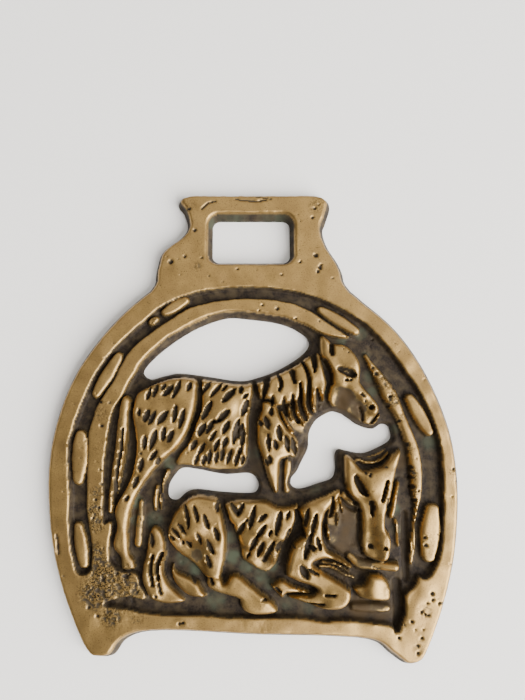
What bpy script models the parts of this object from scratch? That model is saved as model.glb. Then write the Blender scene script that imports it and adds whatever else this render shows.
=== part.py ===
"""Horse brass: a mare and her lying foal in a horseshoe-shaped frame, cast in one piece.

The brass lies on its flat back at z = 0, with its hanger toward +Y and its front toward +Z.
Its front is a height over the XY plane. Frame, grooves, nail heads and animals are raised
on the ground or cut into it, the walls lean by the casting draft, and the height is laid on
a grid that is cut along the outline. The origin is under the middle of the box.
"""
import math

import bpy
import numpy as np

# Driving sizes, in metres
FRAME_WIDTH = 0.077
SLOT_WIDTH = 0.0154
SLOT_HEIGHT = 0.0088
SLOT_CORNER = 0.0015
SLOT_RISE = 0.0010
LEFT_CHEEK = 0.0050
RIGHT_CHEEK = 0.0063
TOP_BAR = 0.0052
EDGE_LAND = 0.0006
GROUND = 0.0017
GROOVE_FLOOR = 0.0018
RIM_TOP = 0.0032
RIM_WIDTH = 0.0048
RIM_CROWN = 0.00012
NAIL_TOP = 0.0031
MARE_RELIEF = 0.0026
FOAL_RELIEF = 0.0031
SHOULDER_ROUND = 0.0010
STEP_WIDTH = 0.0005
LIP_ROUND = 0.0005
COAT_DEPTH = 0.0008
GRID = 0.0004
DRAFT = math.radians(22)
TRIANGLE_SHARE = 0.074

# Plan places are in 77ths of the frame's width, counted from the middle of the brass,
# and so are half widths. One unit is a millimetre at the real size.
UNIT = FRAME_WIDTH / 77
SLOT_MIDDLE = -0.4
ARCH_CROWN = 29

# The frame, its openings and the sunk panel, each a smooth closed curve through a few points
FRAME = [
    (0, ARCH_CROWN), (9.5, 28), (17.3, 25.4), (22.2, 21.6), (26.8, 17.5), (30.5, 12.8), (33.8, 6.9),
    (36.6, -0.3), (38, -7), (38.3, -15), (37.2, -25), (34.7, -34), (31.7, -41.2), (29.8, -43.6),
    (27.3, -43.9), (24.6, -42.2), (21.5, -40.1), (14, -39.4), (0, -39.1), (-12, -38.5), (-19, -38.6),
    (-22.7, -39.9), (-24.6, -42.3), (-26.8, -42.8), (-29.3, -42), (-32.2, -37), (-35.4, -29),
    (-37.5, -20), (-38.3, -10), (-37.2, -1), (-34, 8.1), (-28.7, 16.1), (-22.7, 22.3), (-17.2, 26.1),
    (-10, 28.3)]
ARCH_OPENING = [
    (-21.1, 8.5), (-19.6, 7), (-17, 7.6), (-14, 8.1), (-9.3, 7.6), (-2.6, 6.65), (1, 7.3), (5.1, 8.9),
    (9.2, 11.5), (10.9, 13.9), (9.2, 16.1), (5.1, 17.9), (-1.1, 18.8), (-5.2, 18.95), (-10.3, 17.25),
    (-14.5, 14.8), (-18.6, 11.6)]
CHEST_OPENING = [
    (14.8, 0.8), (12.2, -0.6), (10.9, -2.5), (10.5, -4.2), (10.4, -6), (9.1, -8.6), (8.3, -10.2),
    (7.2, -11.6), (7.3, -12.9), (8.9, -13.5), (12.3, -12.5), (14.8, -11.6), (15.5, -9.9), (15.5, -7.2),
    (16.2, -6.2), (17.7, -6.5), (20.5, -6.95), (23, -6.2), (26, -4.4), (25.8, -2), (24.3, -1.5),
    (22.6, -2.4), (20, -1.7), (18, -0.35), (16.6, 0.5)]
BELLY_OPENING = [
    (-15.7, -13), (-14.8, -11.2), (-13.2, -9.7), (-10.3, -9.9), (-5.2, -10.8), (-0.6, -10.65),
    (1.05, -12.2), (0.8, -13.8), (-0.6, -14.3), (-5.5, -14.1), (-10.3, -13.6), (-12.3, -14.1),
    (-14.1, -15.5), (-15.6, -15)]
PANEL = [
    (-24.9, 3.4), (-23.75, 6), (-22, 8.95), (-20, 11.7), (-17.7, 14), (-15, 15.9), (-10, 18.2), (-5, 20),
    (0, 20), (5, 19.3), (9, 18), (13, 16), (16.5, 15.1), (19.5, 15), (22.5, 13.4), (26.2, 9),
    (29.5, 4), (32, -2), (33, -9), (33, -16), (32, -22), (31, -26.5), (29.3, -30.2), (27.6, -32),
    (27.4, -35), (26.1, -37.8), (25.2, -38.2), (24.2, -37.1), (18, -36.3), (7, -35.8), (-10, -35.4),
    (-17, -35.3), (-22.5, -34.3), (-26, -33.9), (-26.2, -32.9), (-22.5, -31.9), (-19.3, -32.2),
    (-20.3, -30), (-21, -28.3), (-23.5, -27.9), (-25.6, -26.6), (-26.1, -24), (-25.6, -19.5),
    (-27.2, -19.8), (-27.7, -12), (-27.4, -4), (-26.4, 1.5)]

# The groove round the frame: x, y and half width of each point of its middle line
GROOVE = [
    (-30.4, -27, 1.5), (-30.9, -23, 2.1), (-31.7, -18, 1.8), (-31.9, -14, 1.7), (-32.2, -7, 2),
    (-31.9, -2.5, 1.7), (-30.3, 2.6, 1.6), (-27.9, 7.2, 1.95), (-25.2, 11.8, 1.5), (-22.3, 15, 1.3),
    (-16.8, 19.4, 1.6), (-12, 21.9, 1.4), (-6, 23.2, 1.3), (0, 23.5, 1.25), (6, 23, 1.3),
    (11.5, 21.3, 1.6), (16.5, 18.4, 2.1), (21, 15.3, 2.1), (24.8, 11, 2), (28.6, 5.3, 2.1),
    (31.2, 0, 2.2), (32.7, -4.5, 2.05), (33.3, -9, 1.9), (33.1, -14, 2), (32.4, -19, 2.5),
    (31.7, -24, 2.5), (30.8, -27.3, 1.8)]

# Nail heads in the groove: x and y of both ends, and the half width
NAILS = [
    (-12.9, 22, -17.8, 19, 1.05), (-18.6, 18.3, -19.5, 17.7, 0.8), (-25.4, 11.2, -29.4, 4.2, 1.25),
    (-31.9, -3.6, -32, -11.5, 1.55), (-31.4, -20.1, -30.4, -26.2, 1.2), (13.1, 20.2, 19.6, 16.1, 1.15),
    (29.5, 3.2, 32.8, -2.8, 1.3), (32.9, -17, 31.8, -25, 1.75)]

# Limbs: x, y, half width and height as a share of the relief, at each joint along them
WEB = [
    (20.6, 12, 0.35, 0.5), (21.7, 10.4, 0.6, 0.9), (24.6, 6, 1.1, 1), (25.8, 3.6, 1.5, 1),
    (28, -0.6, 0.95, 1), (29.6, -5.6, 1.15, 1), (30.2, -9, 1.2, 1), (30.1, -15, 0.7, 0.9),
    (29.5, -20, 0.3, 0.45), (28.7, -27, 0.25, 0.35)]
TAIL = [
    (-23.5, 2.4, 1.0, 0.8), (-24.1, -2, 1.25, 0.85), (-24.4, -6, 1.2, 0.85), (-24.9, -10, 1.1, 0.8),
    (-25.5, -14, 0.8, 0.7), (-25.9, -17.2, 0.45, 0.6)]
FAR_HIND_LEG = [
    (-14.6, -8.8, 1.2, 0.4), (-16, -11.5, 1, 0.42), (-17, -14.5, 1, 0.38), (-17.4, -19, 0.6, 0.22)]
FAR_FORELEG = [(6.4, -8.2, 0.9, 0.4), (6.1, -11, 0.8, 0.35), (5.9, -13.8, 0.8, 0.3)]
SHANK = [(-20.7, -18, 0.8, 0.3), (-20.8, -22.8, 0.85, 0.32)]
FOAL_FAR_FORELEG = [
    (12.6, -26.2, 0.9, 0.35), (16, -27.6, 1.2, 0.42), (18.8, -28.2, 1.2, 0.42), (20.4, -27, 0.9, 0.5),
    (22.5, -26.9, 0.85, 0.58), (25.6, -27, 0.95, 0.7)]
FOAL_STEP = [(18.6, -34, 0.9, 0.28), (24, -34.1, 0.9, 0.28)]
FOAL_MANE = [
    (27, -11.2, 0.4, 0.45), (26.5, -14.3, 0.5, 0.5), (25.7, -17.4, 0.5, 0.45), (25.9, -20.5, 0.4, 0.38),
    (26.5, -23, 0.35, 0.3)]

# Muscle masses of the mare: a closed curve, then x, y and height as a share of the relief
BARREL = [
    (-9.6, 6.8), (-6, 6.4), (-2, 6), (0.2, 6), (-0.3, 2.5), (-0.6, 0), (-0.8, -4), (-1.1, -8.2),
    (-2.5, -9.6), (-6, -10), (-10, -9.6), (-12.8, -9.2), (-14.2, -8.6), (-12.4, -5), (-11, -3),
    (-10.3, 0), (-9.6, 3)]
BARREL_TOPS = [
    (-5, 1.5, 1), (-5, 6, 0.72), (-9, 5, 0.8), (-5, -4, 0.85), (-1.5, 1, 0.85), (-1.8, -5, 0.7),
    (-5, -9, 0.25), (-11, -7.5, 0.3), (-1.8, -8.8, 0.35), (-9, -2, 0.88)]
NECK = [
    (0.2, 6.2), (2.8, 7), (4.6, 7.8), (6.8, 8.8), (8.6, 9.8), (10.2, 10.9), (11.6, 11.6), (12.6, 11.8),
    (13, 10.3), (13.9, 6.5), (13.1, 2), (11.8, 0.5), (10.8, -0.6), (9.9, -1.9), (9.6, -3.4),
    (8.4, -4.2), (6.8, -2.6), (5.2, -0.4), (4.6, 1.3), (3.4, 2.8), (2, 3), (0.6, 3.6)]
NECK_TOPS = [
    (3, 5, 0.85), (6, 4.6, 0.92), (9, 6, 0.95), (12, 8, 0.9), (7, 7.6, 0.75), (10.5, 9.8, 0.75),
    (12.6, 5.5, 0.8), (9.2, 2, 0.75), (12.2, 2.4, 0.55), (6.3, 0.6, 0.45), (8, -1.6, 0.35),
    (9, -3.2, 0.2), (10.7, 0, 0.5), (5.6, 3, 0.88)]
SHOULDER = [
    (2, 2.6), (3.8, 2.4), (4.9, 1), (5.2, 0), (6.8, -2.3), (8.1, -3.7), (8.6, -5.6), (8, -7.4),
    (6.6, -9.2), (5.4, -8.3), (5, -9.6), (4.7, -13.7), (3.7, -13.5), (2.4, -10), (1.5, -7.2),
    (0.9, -5.3), (0.7, -3), (0.9, -0.7), (1.6, 1)]
SHOULDER_TOPS = [
    (3.5, -2, 1), (6.2, -4, 0.95), (2.5, 1.5, 0.8), (3.6, -8, 0.85), (4.2, -13, 0.7), (7.6, -7, 0.6),
    (1.3, -4, 0.8)]
HAUNCH = [
    (-20.8, 4.9), (-18, 6.1), (-15, 7), (-12, 7.2), (-10.4, 6.4), (-10.3, 3.5), (-10.9, 0), (-12, -3),
    (-14, -6), (-19, -11.2), (-21, -14.2), (-22.1, -17.5), (-22.2, -24.4), (-21.1, -27.4),
    (-23.4, -27.4), (-25.1, -23.6), (-24.7, -19.6), (-25.2, -17.6), (-24.6, -15.2), (-23, -12.8),
    (-22, -10), (-21.6, -6), (-22, -2.5), (-22.6, 0.5), (-22, 3.5)]
HAUNCH_TOPS = [
    (-17, -1, 1), (-13, 3, 0.95), (-20.5, 3, 0.8), (-17, 5.8, 0.75), (-12.8, -3, 0.95), (-18, -8, 0.85),
    (-22.5, -14, 0.7), (-23.6, -20, 0.75), (-22.5, -26, 0.6)]
HEAD = [
    (13, 15.1), (12.9, 11.4), (14.3, 9), (14.9, 7.4), (14.2, 4), (14.4, 2.3), (15.5, 1.1), (17.4, 0.3),
    (18.6, -0.6), (20.1, -1.3), (21.6, -1.6), (22.8, -0.5), (23.6, 1.1), (23, 2.8), (21.5, 4.5),
    (20.3, 6.3), (20.3, 9), (19.6, 11.3), (18.5, 12.7), (17, 13.4), (15.1, 13.7), (14.3, 14.5)]
HEAD_TOPS = [
    (17.6, 10.6, 1), (15.2, 10, 0.9), (13.6, 13.8, 0.85), (17, 6, 1), (19.8, 4.6, 1), (21.8, 2.2, 1),
    (22.4, -0.4, 0.5), (17, 3.2, 0.75), (15.3, 4.6, 0.7), (16, 1.8, 0.45), (19.2, 0, 0.45),
    (21, -1, 0.4)]

# Muscle masses of the foal, in the same form
FOAL_TAIL = [
    (-17.9, -19.9), (-16.7, -20.3), (-15.8, -23), (-15.6, -24.8), (-15.9, -27.3), (-14.9, -29.7),
    (-12.3, -32.1), (-12.6, -33), (-15.5, -33.3), (-17.7, -32.6), (-19.8, -29), (-19.1, -24),
    (-18.7, -21.5)]
FOAL_TAIL_TOPS = [(-17.5, -21.5, 0.6), (-17.5, -26, 0.72), (-18, -30, 0.72), (-14, -32.3, 0.6)]
FOAL_FAR_FOOT = [
    (-14.3, -26.4), (-13.6, -27.6), (-11.5, -28.5), (-9.8, -29.3), (-8.8, -30.7), (-8, -31.8),
    (-9.3, -32.2), (-11.4, -31.7), (-13.8, -29.8), (-14.5, -28)]
FOAL_FAR_FOOT_TOPS = [(-13, -28.6, 0.6), (-10, -31, 0.62)]
FOAL_NECK = [
    (13, -17.6), (14.2, -15.6), (16.4, -13.6), (17.4, -13.4), (18.2, -14.8), (20.2, -18.5),
    (20, -23.5), (20.6, -25.3), (18.6, -26.6), (15, -24.6), (13.5, -23.2), (12.9, -21)]
FOAL_NECK_TOPS = [
    (15, -16, 0.6), (18, -17.5, 0.5), (17, -21, 0.42), (14.4, -20, 0.45), (18.7, -24, 0.35)]
FOAL_BODY = [
    (-5, -16.1), (-3, -15.3), (0, -15.2), (2.5, -15.3), (4.6, -16.3), (6.5, -16.4), (8.2, -16),
    (7.8, -19.3), (6.8, -21.6), (5.5, -23), (4.9, -25), (3.8, -26.3), (2.5, -27.4), (-1.6, -25.4),
    (-2.7, -21.6), (-3.4, -19.9), (-4.5, -18.2)]
FOAL_BODY_TOPS = [
    (1, -19.5, 1), (5, -20, 0.95), (-3, -17.6, 0.85), (1, -15.8, 0.72), (6.6, -17.4, 0.75),
    (2, -26, 0.4), (0, -23.5, 0.7), (3.6, -24, 0.7)]
FOAL_HIND_LEG = [
    (-7.6, -28.4), (-5.7, -28), (-5, -29.6), (-3.9, -28.5), (-2.7, -28), (0, -30), (2.7, -31.9),
    (4.2, -33.3), (4.3, -34.6), (1.5, -35), (-1, -34.6), (-2.4, -32.3), (-4.8, -31.6), (-7.2, -30.7),
    (-8.2, -29.4)]
FOAL_HIND_LEG_TOPS = [(-5.5, -30.4, 0.75), (-2.5, -29.6, 0.8), (1, -33, 0.85), (3.6, -34, 0.8)]
FOAL_HAUNCH = [
    (-15.3, -20.6), (-14.4, -17.9), (-12.8, -15.9), (-11, -14.6), (-8.5, -14.2), (-6.4, -15),
    (-5.5, -17.2), (-4.6, -21.3), (-4.7, -24.5), (-5, -27.2), (-5.9, -28.8), (-8.3, -28.6),
    (-10.6, -26.4), (-13.6, -24.2), (-15, -22.4)]
FOAL_HAUNCH_TOPS = [
    (-10, -19, 1), (-6.3, -22, 0.97), (-13.8, -20, 0.8), (-9, -14.9, 0.75), (-7.5, -26, 0.8),
    (-12, -24.2, 0.5), (-9.5, -27, 0.5), (-6, -28, 0.75)]
FOAL_FOREHAND = [
    (8.6, -16.6), (10.6, -15.4), (13.2, -14.5), (15.6, -13.2), (13.6, -16.6), (12.9, -18.6),
    (12.8, -21), (13.4, -23.4), (15.4, -24.7), (17.8, -26.6), (18, -27.6), (16, -26.7), (13.4, -25.6),
    (11.2, -26.4), (12.6, -27.7), (17.2, -30.3), (17.6, -31.6), (17.1, -33.1), (15.7, -34),
    (13, -34.1), (8, -32.6), (6.4, -31.9), (10.3, -31.7), (11.4, -30.7), (8, -29.2), (6.2, -28.4),
    (6.3, -26.5), (6.9, -24), (7.7, -22.4), (9, -21.4), (9.2, -19.2), (8.6, -17.9)]
FOAL_FOREHAND_TOPS = [
    (10.5, -18.5, 0.95), (11.6, -22.5, 0.95), (8.4, -25.5, 0.85), (12, -29.4, 0.85), (15.6, -31.5, 0.9),
    (14, -14.9, 0.7), (16.5, -26, 0.7), (11, -32.6, 0.7)]
FOAL_HOOF = [
    (3.4, -30.1), (5.3, -29), (7.2, -30), (9.8, -30.9), (10.2, -31.5), (6.3, -31.5), (5.4, -32.3),
    (4.3, -31.3)]
FOAL_HOOF_TOPS = [(5.5, -30.5, 0.72), (9, -31, 0.6)]
FOAL_KNEE = [
    (18.2, -30.4), (19.9, -29.8), (20.8, -28.3), (23.4, -28.2), (24.4, -29.2), (24.8, -31),
    (24.3, -32.5), (22, -32.7), (19.4, -32.3), (18.5, -31.5)]
FOAL_KNEE_TOPS = [(21.5, -30.5, 0.85), (24, -30.5, 0.7)]
FOAL_HEAD = [
    (17.1, -7.3), (18.4, -7.9), (20.2, -9.8), (22, -9.6), (24, -8.9), (25.6, -7.1), (27.2, -6.1),
    (27.6, -7.3), (26.7, -10), (26.2, -13), (24.4, -17.5), (24.2, -19.7), (24.9, -21.2), (25.1, -23),
    (24.6, -25.3), (23.6, -26), (21.5, -25.6), (20.2, -24.9), (19.6, -23.4), (19.8, -17.8),
    (18.9, -15.8), (17.5, -14), (17, -11.5)]
FOAL_HEAD_TOPS = [
    (22.4, -12.5, 0.95), (22.8, -17.5, 1), (23.4, -22.5, 1.05), (20.6, -20, 0.66), (20.8, -24, 0.6),
    (18.2, -12, 0.78), (17.7, -8.6, 0.7), (26.2, -8.2, 0.72), (25, -11.5, 0.85), (24.2, -25.2, 0.8),
    (19.8, -16.6, 0.7)]

# Deep cuts: a depth as a share of the relief, then x, y and half width along the cut
MARE_CUTS = [
    (0.62, [(-22.2, 3.8, 0.25), (-22.7, -0.5, 0.35), (-22.2, -6, 0.7), (-22.5, -9, 0.7),
            (-23.8, -13.5, 0.45), (-24.9, -15.5, 0.35)]),
    (0.35, [(-23.9, -2.3, 0.2), (-24.3, -6, 0.35), (-25, -13, 0.3), (-25.3, -15.8, 0.2)]),
    (0.54, [(-9.9, 6, 0.4), (-9.9, 3, 0.45), (-10.7, -1, 0.45), (-12.3, -5, 0.5), (-13.7, -6.7, 0.5)]),
    (0.85, [(0.3, 3.4, 0.3), (0, 1, 0.6), (-0.1, -6, 0.8), (0.2, -9.3, 0.9)]),
    (0.4, [(16.3, 8.6, 0.5), (17.8, 8.1, 0.75), (19, 7.6, 0.5)]),
    (0.4, [(14.9, 13.2, 0.4), (14.9, 12, 0.5), (15, 11.6, 0.4)]),
    (0.4, [(21.9, 1.6, 0.55), (22.1, 1.6, 0.55)]),
    (0.25, [(20, 1.2, 0.3), (20.5, 0.1, 0.35), (20.3, -1, 0.3)]),
    (0.5, [(8.9, 6, 0.3), (8.9, 4, 0.45), (8.7, 2, 0.55), (10.2, -0.2, 0.3)]),
    (0.5, [(9.6, 9.6, 0.3), (10.5, 7.8, 0.4), (10.3, 3, 0.5), (10.7, 1.2, 0.4), (11.3, 0.2, 0.25)]),
    (0.5, [(11.7, 10.2, 0.6), (11.6, 8.2, 0.3)]),
    (0.4, [(12.1, 4.8, 0.25), (12.4, 3, 0.45), (12.3, 1.2, 0.35)]),
    (0.4, [(7.3, 1.7, 0.4), (7.9, -0.2, 0.5), (8.9, -1.8, 0.4)]),
    (0.5, [(5, 1.6, 0.5), (6.1, 0.8, 0.7), (7, -0.8, 0.8), (8.4, -2.4, 0.8)]),
    (0.5, [(1, 0.9, 0.9), (0.9, -0.6, 0.8)]),
    (0.4, [(1, 6.2, 0.8), (1.1, 3, 0.4)]),
    (0.35, [(4.8, 7.2, 0.5), (5.2, 4.7, 0.3)]),
    (0.35, [(7.4, 7.9, 0.5), (8, 6.3, 0.3)])]
FOAL_CUTS = [
    (0.4, [(-17.9, -24.8, 0.3), (-18.1, -27.5, 0.35), (-17.7, -30, 0.3)]),
    (0.45, [(-16.2, -24.4, 0.35), (-16.9, -26.5, 0.45), (-16.8, -28.9, 0.3)]),
    (0.7, [(7.9, -17.2, 0.35), (8.1, -19, 0.45), (7, -22, 0.5), (5.6, -26, 0.6), (5.7, -28.4, 0.5)]),
    (0.45, [(19.1, -11.3, 0.55), (19.7, -12.8, 0.85), (20.5, -14.2, 0.5)]),
    (0.4, [(24.4, -11.8, 0.3), (24, -13.5, 0.5), (23.5, -15.1, 0.4)]),
    (0.35, [(21.8, -15.6, 0.5), (21.7, -16.6, 0.6), (21.9, -17.9, 0.3)]),
    (0.3, [(21.2, -23.2, 0.6), (21.4, -23.2, 0.6)]),
    (0.3, [(23.7, -23.6, 0.5), (23.9, -23.6, 0.5)]),
    (0.25, [(16.8, -16, 0.4), (18.4, -17.2, 0.5), (18.6, -22, 0.7), (18.6, -24, 0.6)]),
    (0.3, [(10.3, -21.4, 0.4), (9.6, -24.8, 0.5)]),
    (0.3, [(8.8, -26.8, 0.6), (9.6, -28.3, 0.5)])]

# Rows of gouges that stand for hair: both ends of the row, how many, their length, their lean
# in degrees from +X and their half width
MARE_COAT = [
    (-19.3, 4.1, -11.9, 5.3, 6, 1.9, 68, 0.36), (-20.9, 0.7, -13, -0.5, 6, 2, 65, 0.42),
    (-19.8, -4.8, -15.1, -3.8, 4, 2, 76, 0.36), (-18, -7.2, -20.4, -9, 2, 1.8, 80, 0.3),
    (-8.6, 5, -2.2, 4.7, 4, 2, 52, 0.42), (-8.4, 1.1, -1.5, 1.3, 4, 2.4, 55, 0.48),
    (-9.3, -2.6, -2.3, -2.7, 6, 2.1, 64, 0.4), (-9.4, -6.1, -1.9, -4.6, 6, 1.8, 74, 0.32),
    (-7.8, -7.6, -2.9, -7.7, 5, 2, 80, 0.32), (2.9, -1, 3.4, 0.4, 2, 1.6, 100, 0.32),
    (3, -5, 7.6, -5.5, 4, 2.2, 104, 0.38)]
FOAL_COAT = [
    (-13.6, -20.6, -9.8, -18, 4, 1.9, -50, 0.3), (-11.7, -18.7, -8.3, -19, 2, 1.8, -68, 0.3),
    (-9.5, -21.8, -6.3, -21, 2, 1.9, -72, 0.32), (-7.4, -23.2, -7.6, -25.7, 2, 1.8, -65, 0.3),
    (-4.8, -17.2, -1.9, -16.9, 3, 1.9, -62, 0.34), (0, -18.2, 5, -19, 3, 2.8, 72, 0.38),
    (-2, -20.4, 1.4, -20.7, 2, 2.2, 58, 0.38), (0, -22.8, 3.1, -24.4, 3, 2.1, 66, 0.36),
    (9.8, -18.2, 11, -19.5, 2, 2.8, 80, 0.34)]


def plan(points):
    """Plan places as an array, with the unit turned into metres in the first three columns."""
    array = np.array(points, dtype=float)
    array[:, :3] *= UNIT
    return array


def through(before, start, end, after, t):
    """Catmull-Rom blend: a smooth curve from start to end that leaves along its neighbours."""
    bend = 2 * before - 5 * start + 4 * end - after
    twist = 3 * start - before - 3 * end + after
    return 0.5 * (2 * start + (end - before) * t + bend * t ** 2 + twist * t ** 3)


def closed_curve(points, steps=8):
    """Closed smooth curve through the points, in metres."""
    p = plan(points)[:, None, :]
    t = (np.arange(steps) / steps)[None, :, None]
    curve = through(np.roll(p, 1, 0), p, np.roll(p, -1, 0), np.roll(p, -2, 0), t)
    return curve.reshape(-1, 2)


def open_curve(nodes, steps=4):
    """Open smooth curve through the nodes, which carries their other columns along."""
    p = plan(nodes)
    if len(p) < 3:
        return p
    ends = np.vstack([2 * p[0] - p[1], p, 2 * p[-1] - p[-2]])[:, None, :]
    t = (np.arange(steps) / steps)[None, :, None]
    curve = through(ends[:-3], ends[1:-2], ends[2:-1], ends[3:], t)
    return np.vstack([curve.reshape(-1, p.shape[1]), p[-1]])


def depth_inside(x, y, loop):
    """Distance to the closed loop, positive inside it and negative outside."""
    nearest = np.full(x.shape, np.inf)
    inside = np.zeros(x.shape, bool)
    for (ax, ay), (bx, by) in zip(loop, np.roll(loop, -1, 0)):
        ex = bx - ax
        ey = by - ay
        t = np.clip(((x - ax) * ex + (y - ay) * ey) / (ex * ex + ey * ey), 0, 1)
        nearest = np.minimum(nearest, (x - ax - t * ex) ** 2 + (y - ay - t * ey) ** 2)
        if ay != by:
            inside ^= ((ay > y) != (by > y)) & (x < ax + (y - ay) * ex / ey)
    return np.where(inside, 1, -1) * np.sqrt(nearest)


def window(x, y, places, margin):
    """The rows and columns of the grid that hold the places, with a margin round them."""
    low = places[:, :2].min(0) - margin
    high = places[:, :2].max(0) + margin
    rows = np.flatnonzero((y[:, 0] > low[1]) & (y[:, 0] < high[1]))
    columns = np.flatnonzero((x[0] > low[0]) & (x[0] < high[0]))
    return slice(rows[0], rows[-1] + 1), slice(columns[0], columns[-1] + 1)


def smooth_step(value):
    """0 below 0, 1 above 1, and a smooth slope between."""
    value = np.clip(value, 0, 1)
    return value * value * (3 - 2 * value)


def across(x, y, chain):
    """How far out of a chain of tapered discs each place is, 0 on its line and 1 on its edge,
    with the last column of the chain carried along."""
    nearest = np.full(x.shape, np.inf)
    carried = np.zeros(x.shape)
    for start, end in zip(chain[:-1], chain[1:]):
        run = end[:2] - start[:2]
        t = np.clip(((x - start[0]) * run[0] + (y - start[1]) * run[1]) / (run @ run), 0, 1)
        away = np.hypot(x - start[0] - t * run[0], y - start[1] - t * run[1])
        out = away / (start[2] + (end[2] - start[2]) * t)
        carried = np.where(out < nearest, start[-1] + (end[-1] - start[-1]) * t, carried)
        nearest = np.minimum(nearest, out)
    return nearest, carried


def raise_limb(z, x, y, nodes, relief, power=2.4):
    """A limb with a rounded top, from a chain of tapered discs."""
    chain = open_curve(nodes)
    part = window(x, y, chain, 3 * UNIT)
    out, share = across(x[part], y[part], chain)
    top = GROUND + relief * share * np.clip(1 - out ** power, 0, 1) ** (1 / power)
    z[part] = np.where(out < 1, np.maximum(z[part], top), z[part])


def raise_mass(z, x, y, outline, tops, relief):
    """A muscle mass: its top is a blend of the nearest tops, and its shoulder is a quarter round."""
    loop = closed_curve(outline)
    part = window(x, y, loop, UNIT)
    px = x[part]
    py = y[part]
    peaks = plan(tops)
    peaks[:, 2] /= UNIT
    away = (px[..., None] - peaks[:, 0]) ** 2 + (py[..., None] - peaks[:, 1]) ** 2
    weight = (away + UNIT ** 2) ** -2
    share = (weight * peaks[:, 2]).sum(-1) / weight.sum(-1)
    depth = depth_inside(px, py, loop)
    shoulder = 1 - np.clip(depth / SHOULDER_ROUND, 0, 1)
    top = GROUND + relief * share * np.sqrt(1 - shoulder ** 2)
    z[part] = np.where(depth > 0, np.maximum(z[part], top), z[part])


def cut_groove(z, x, y, chain, depth):
    """A groove with a rounded floor that never goes below the ground."""
    part = window(x, y, chain, 3 * UNIT)
    out, _ = across(x[part], y[part], chain)
    low = z[part] - depth * np.clip(1 - out ** 2, 0, 1)
    z[part] = np.where(out < 1, np.maximum(low, np.minimum(z[part], GROUND)), z[part])


def cut_coat(z, x, y, rows, rng):
    """Rows of short gouges, pointed at both ends, each a little out of line as a hand cuts them."""
    for x0, y0, x1, y1, count, length, lean, half in rows:
        for t in np.linspace(0, 1, count):
            middle = np.array([x0 + (x1 - x0) * t, y0 + (y1 - y0) * t]) + rng.uniform(-0.2, 0.2, 2)
            angle = math.radians(lean + rng.uniform(-8, 8))
            way = np.array([math.cos(angle), math.sin(angle)])
            shape = [(-0.5, 0.3), (-0.17, 1), (0.17, 1), (0.5, 0.3)]
            chain = plan([(*(middle + way * length * along), half * wide) for along, wide in shape])
            cut_groove(z, x, y, chain, COAT_DEPTH)


def slot_low():
    """Lower edge of the strap slot, above the crown of the arch."""
    return ARCH_CROWN * UNIT + SLOT_RISE


def hanger_outline():
    """The hanger: cheeks and a top bar round the strap slot, with ears above and flared feet."""
    left = (SLOT_MIDDLE * UNIT - SLOT_WIDTH / 2 - LEFT_CHEEK) / UNIT
    right = (SLOT_MIDDLE * UNIT + SLOT_WIDTH / 2 + RIGHT_CHEEK) / UNIT
    low = slot_low() / UNIT
    high = (slot_low() + SLOT_HEIGHT) / UNIT
    top = (slot_low() + SLOT_HEIGHT + TOP_BAR) / UNIT
    left_side = [(-5.5, 20), (-6.1, 26.2), (-5.7, low - 0.4), (-5, low + 1.9), (-3.3, low + 3.6),
                 (-1.2, low + 5.2), (0, high - 1.6), (-0.7, high + 1.2), (-1.9, high + 3), (-1.1, top - 0.6),
                 (1.6, top)]
    right_side = [(-2, top), (0.6, top - 0.6), (1.7, high + 2.8), (0.9, high - 0.3), (0.2, high - 2.5),
                  (1.1, low + 3.2), (3.2, low - 0.3), (4.2, 26.4), (4, 20)]
    bar = [(left + 6, top), (right - 7, top)]
    return [(left + x, y) for x, y in left_side] + bar + [(right + x, y) for x, y in right_side]


def slot_depth(x, y):
    """Distance to the strap slot's rounded rectangle, positive inside it."""
    across_x = np.abs(x - SLOT_MIDDLE * UNIT) - SLOT_WIDTH / 2 + SLOT_CORNER
    across_y = np.abs(y - slot_low() - SLOT_HEIGHT / 2) - SLOT_HEIGHT / 2 + SLOT_CORNER
    corner = np.hypot(np.maximum(across_x, 0), np.maximum(across_y, 0))
    return SLOT_CORNER - corner - np.minimum(np.maximum(across_x, across_y), 0)


def frame_height(x, y):
    """Height of the bare frame with its crowned rim, groove and sunk panel."""
    rim = depth_inside(x, y, closed_curve(FRAME))
    crown = 1 - (1.6 * (rim / RIM_WIDTH - 0.5)) ** 2
    z = RIM_TOP + RIM_CROWN * np.clip(crown, -1, 1)
    groove = open_curve(GROOVE)
    out, _ = across(x, y, groove)
    half = groove[:, 2].mean()
    z = z + (GROOVE_FLOOR - z) * smooth_step((1 - out) * half / STEP_WIDTH)
    sunk = smooth_step(depth_inside(x, y, closed_curve(PANEL)) / STEP_WIDTH)
    return np.minimum(z, RIM_TOP + (GROUND - RIM_TOP) * sunk)


def raise_nails(z, x, y):
    """Flat-topped nail heads along the groove."""
    for x0, y0, x1, y1, half in NAILS:
        shape = [(0, 0.75), (0.33, 1), (0.67, 1), (1, 0.75)]
        nodes = [(x0 + (x1 - x0) * t, y0 + (y1 - y0) * t, half * wide, 1) for t, wide in shape]
        raise_limb(z, x, y, nodes, NAIL_TOP - GROUND, 4)


def raise_mare(z, x, y, rng):
    """The standing mare: far legs and tail first, then the masses nearer the viewer."""
    for nodes in (SHANK, FAR_HIND_LEG, FAR_FORELEG, TAIL):
        raise_limb(z, x, y, nodes, MARE_RELIEF)
    for outline, tops in ((BARREL, BARREL_TOPS), (NECK, NECK_TOPS), (SHOULDER, SHOULDER_TOPS),
                          (HAUNCH, HAUNCH_TOPS), (HEAD, HEAD_TOPS)):
        raise_mass(z, x, y, outline, tops, MARE_RELIEF)
    for share, nodes in MARE_CUTS:
        cut_groove(z, x, y, open_curve(nodes), share * MARE_RELIEF)
    cut_coat(z, x, y, MARE_COAT, rng)


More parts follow.
